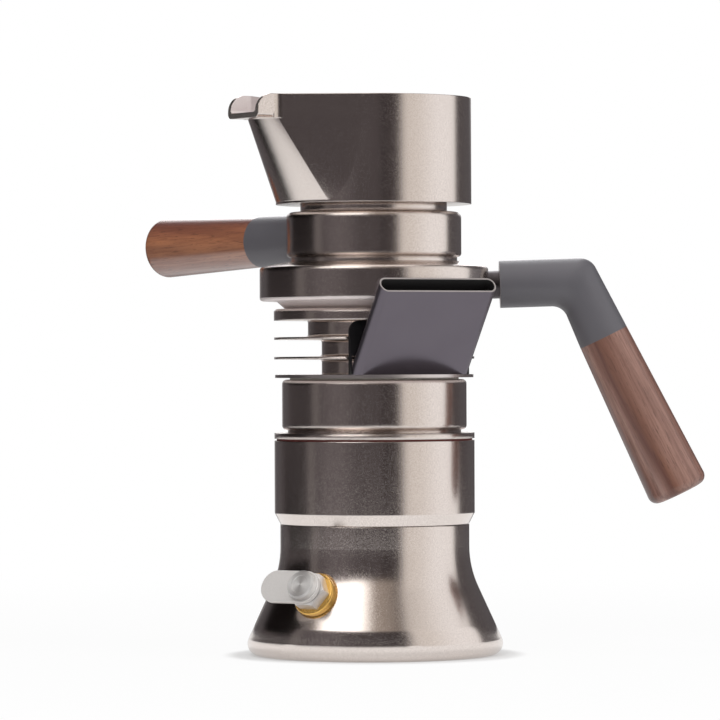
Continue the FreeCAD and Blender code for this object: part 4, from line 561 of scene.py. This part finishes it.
def cover(value, edges):
    """How far a panel covers a place: it grows between the first two edges and fades between the last."""
    start, full, last, end = edges
    return smooth_step((value - start) / (full - start)) * (1 - smooth_step((value - last) / (end - last)))


def studio_tone(angle, elevation):
    """Tone of the studio in one direction."""
    tone = list(WALL)
    for _, angles, elevations, panel_tone in PANELS:
        part = max(cover(angle, angles), cover(angle + 360, angles)) * cover(elevation, elevations)
        tone = [old + (new - old) * part for old, new in zip(tone, panel_tone)]
    return tone


def add_object(name, data):
    made = bpy.data.objects.new(name, data)
    bpy.context.scene.collection.objects.link(made)
    return made


def empty_material(name):
    """A material without a shader, its graph and the input for its surface."""
    material = bpy.data.materials.new(name)
    material.use_nodes = True
    material.node_tree.nodes.clear()
    graph = Graph(material.node_tree)
    return material, graph, graph.node("ShaderNodeOutputMaterial").inputs["Surface"]


def make_world():
    """White where it is seen, and a plain soft light for the rest."""
    world = bpy.data.worlds.new("studio")
    bpy.context.scene.world = world
    world.use_nodes = True
    graph = Graph(world.node_tree)
    background = world.node_tree.nodes["Background"]
    background.inputs["Color"].default_value = (1, 1, 1, 1)
    seen = graph.maths("MULTIPLY", graph.rays(*SEEING_RAYS), 1 - SOFT_LIGHT)
    graph.feed(background.inputs["Strength"], graph.maths("ADD", seen, SOFT_LIGHT))


def make_floor():
    """A pale floor. Camera and mirrors see it fade to white with the distance, so that it keeps the
    object's shadow and has no horizon."""
    material, graph, surface = empty_material("floor")
    diffuse = graph.node("ShaderNodeBsdfDiffuse", {"Color": (FLOOR_TONE, FLOOR_TONE, FLOOR_TONE, 1)})
    light = graph.node("ShaderNodeEmission")
    coords = graph.node("ShaderNodeTexCoord")
    length = graph.node("ShaderNodeVectorMath", {0: coords.outputs["Object"]}, operation="LENGTH")
    white = graph.rays(*SEEING_RAYS)
    for fade, least in ((FLOOR_FADE, FLOOR_WHITE), (CONTACT_FADE, CONTACT_WHITE)):
        grown = graph.span(length.outputs["Value"], *fade, least, 1.0, curve="SMOOTHSTEP")
        white = graph.maths("MULTIPLY", white, grown)
    blend = graph.node("ShaderNodeMixShader", {"Fac": white, 1: diffuse.outputs[0], 2: light.outputs[0]})
    graph.feed(surface, blend.outputs[0])
    mesh = bpy.data.meshes.new("floor")
    corners = [(x * FLOOR_HALF, y * FLOOR_HALF, 0) for x, y in ((-1, -1), (1, -1), (1, 1), (-1, 1))]
    mesh.from_pydata(corners, [], [(0, 1, 2, 3)])
    mesh.materials.append(material)
    floor = add_object("floor", mesh)


def glow_sheet(name, points, tones, columns):
    """A sheet that only mirrors see and that glows in its points' tones."""
    rows = len(points) // columns
    faces = [(row * columns + i, row * columns + i + 1, (row + 1) * columns + i + 1, (row + 1) * columns + i)
             for row in range(rows - 1) for i in range(columns - 1)]
    mesh = bpy.data.meshes.new(name)
    mesh.from_pydata(points, [], faces)
    layer = mesh.color_attributes.new("tone", "FLOAT_COLOR", "POINT")
    for item, tone in zip(layer.data, tones):
        item.color = (*tone, 1)
    material, graph, surface = empty_material(name)
    tone = graph.node("ShaderNodeAttribute", attribute_name="tone")
    glow = graph.node("ShaderNodeEmission", {"Color": tone.outputs["Color"]})
    graph.feed(surface, glow.outputs[0])
    mesh.materials.append(material)
    sheet = add_object(name, mesh)
    sheet.visible_camera = False
    sheet.visible_diffuse = False
    sheet.visible_shadow = False


def make_studio():
    """The studio's wall: part of a sphere round the object."""
    angles = range(-180, 181)
    points, tones = [], []
    for elevation in range(STUDIO_LOW, STUDIO_TOP + 1, STUDIO_STEP):
        rise = math.radians(elevation)
        for angle in angles:
            height = STUDIO_CENTRE + STUDIO_RADIUS * math.sin(rise)
            points.append(around(angle, STUDIO_RADIUS * math.cos(rise), height))
            tones.append(studio_tone(angle, elevation))
    glow_sheet("studio", points, tones, len(angles))


def make_apron():
    """The lowest tones of the wall carried inwards over the floor, where they fade to white."""
    angles = range(-180, 181)
    near, far = APRON_RADII
    radii = [near + (far - near) * step / APRON_STEPS for step in range(APRON_STEPS)] + [STUDIO_RADIUS]
    points, tones = [], []
    for step, radius in enumerate(radii):
        dark = smooth_step(step / (APRON_STEPS - 1))
        for angle in angles:
            points.append(around(angle, radius, APRON_HEIGHT))
            tones.append([1 + (part - 1) * dark for part in studio_tone(angle, STUDIO_LOW)])
    glow_sheet("apron", points, tones, len(angles))


def area_lamp(name, angle, height, distance, width, tall, power):
    """A soft lamp that faces the object's middle and that mirrors don't see."""
    data = bpy.data.lights.new(name, "AREA")
    data.shape = "RECTANGLE"
    data.size = width
    data.size_y = tall
    data.energy = power
    lamp = add_object(name, data)
    target = Vector((0, 0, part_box("jug")[1].z / 2))
    lamp.location = around(angle, distance, height)
    lamp.rotation_mode = "QUATERNION"
    lamp.rotation_quaternion = (target - lamp.location).to_track_quat("-Z", "Y")
    lamp.visible_glossy = False


def make_lights():
    area_lamp("key", angle=55, height=0.9, distance=1.2, width=0.6, tall=0.9, power=5)
    area_lamp("front_box", angle=-24, height=1.0, distance=1.0, width=0.5, tall=0.45, power=4)
    area_lamp("top", angle=0, height=1.6, distance=0.3, width=0.9, tall=0.9, power=4)


def make_camera():
    data = bpy.data.cameras.new("camera")
    data.sensor_width = SENSOR_MILLIMETRES
    data.lens = SENSOR_MILLIMETRES * CAMERA_DISTANCE / (PICTURE_PIXELS * METRES_PER_PIXEL)
    data.clip_start, data.clip_end = CAMERA_CLIP
    camera = add_object("camera", data)
    across = (PICTURE_PIXELS / 2 - AXIS_COLUMN) * METRES_PER_PIXEL
    camera.location = (across, -CAMERA_DISTANCE, EYE_HEIGHT)
    camera.rotation_euler = (math.radians(90), -CAMERA_ROLL, 0)
    bpy.context.scene.camera = camera


make_camera()
paint_castings()
paint_relief_valve()
paint_chimney()
paint_fittings()
paint_handles()
make_world()
make_floor()
make_studio()
make_apron()
make_lights()

bpy.context.scene.view_settings.view_transform = "Standard"
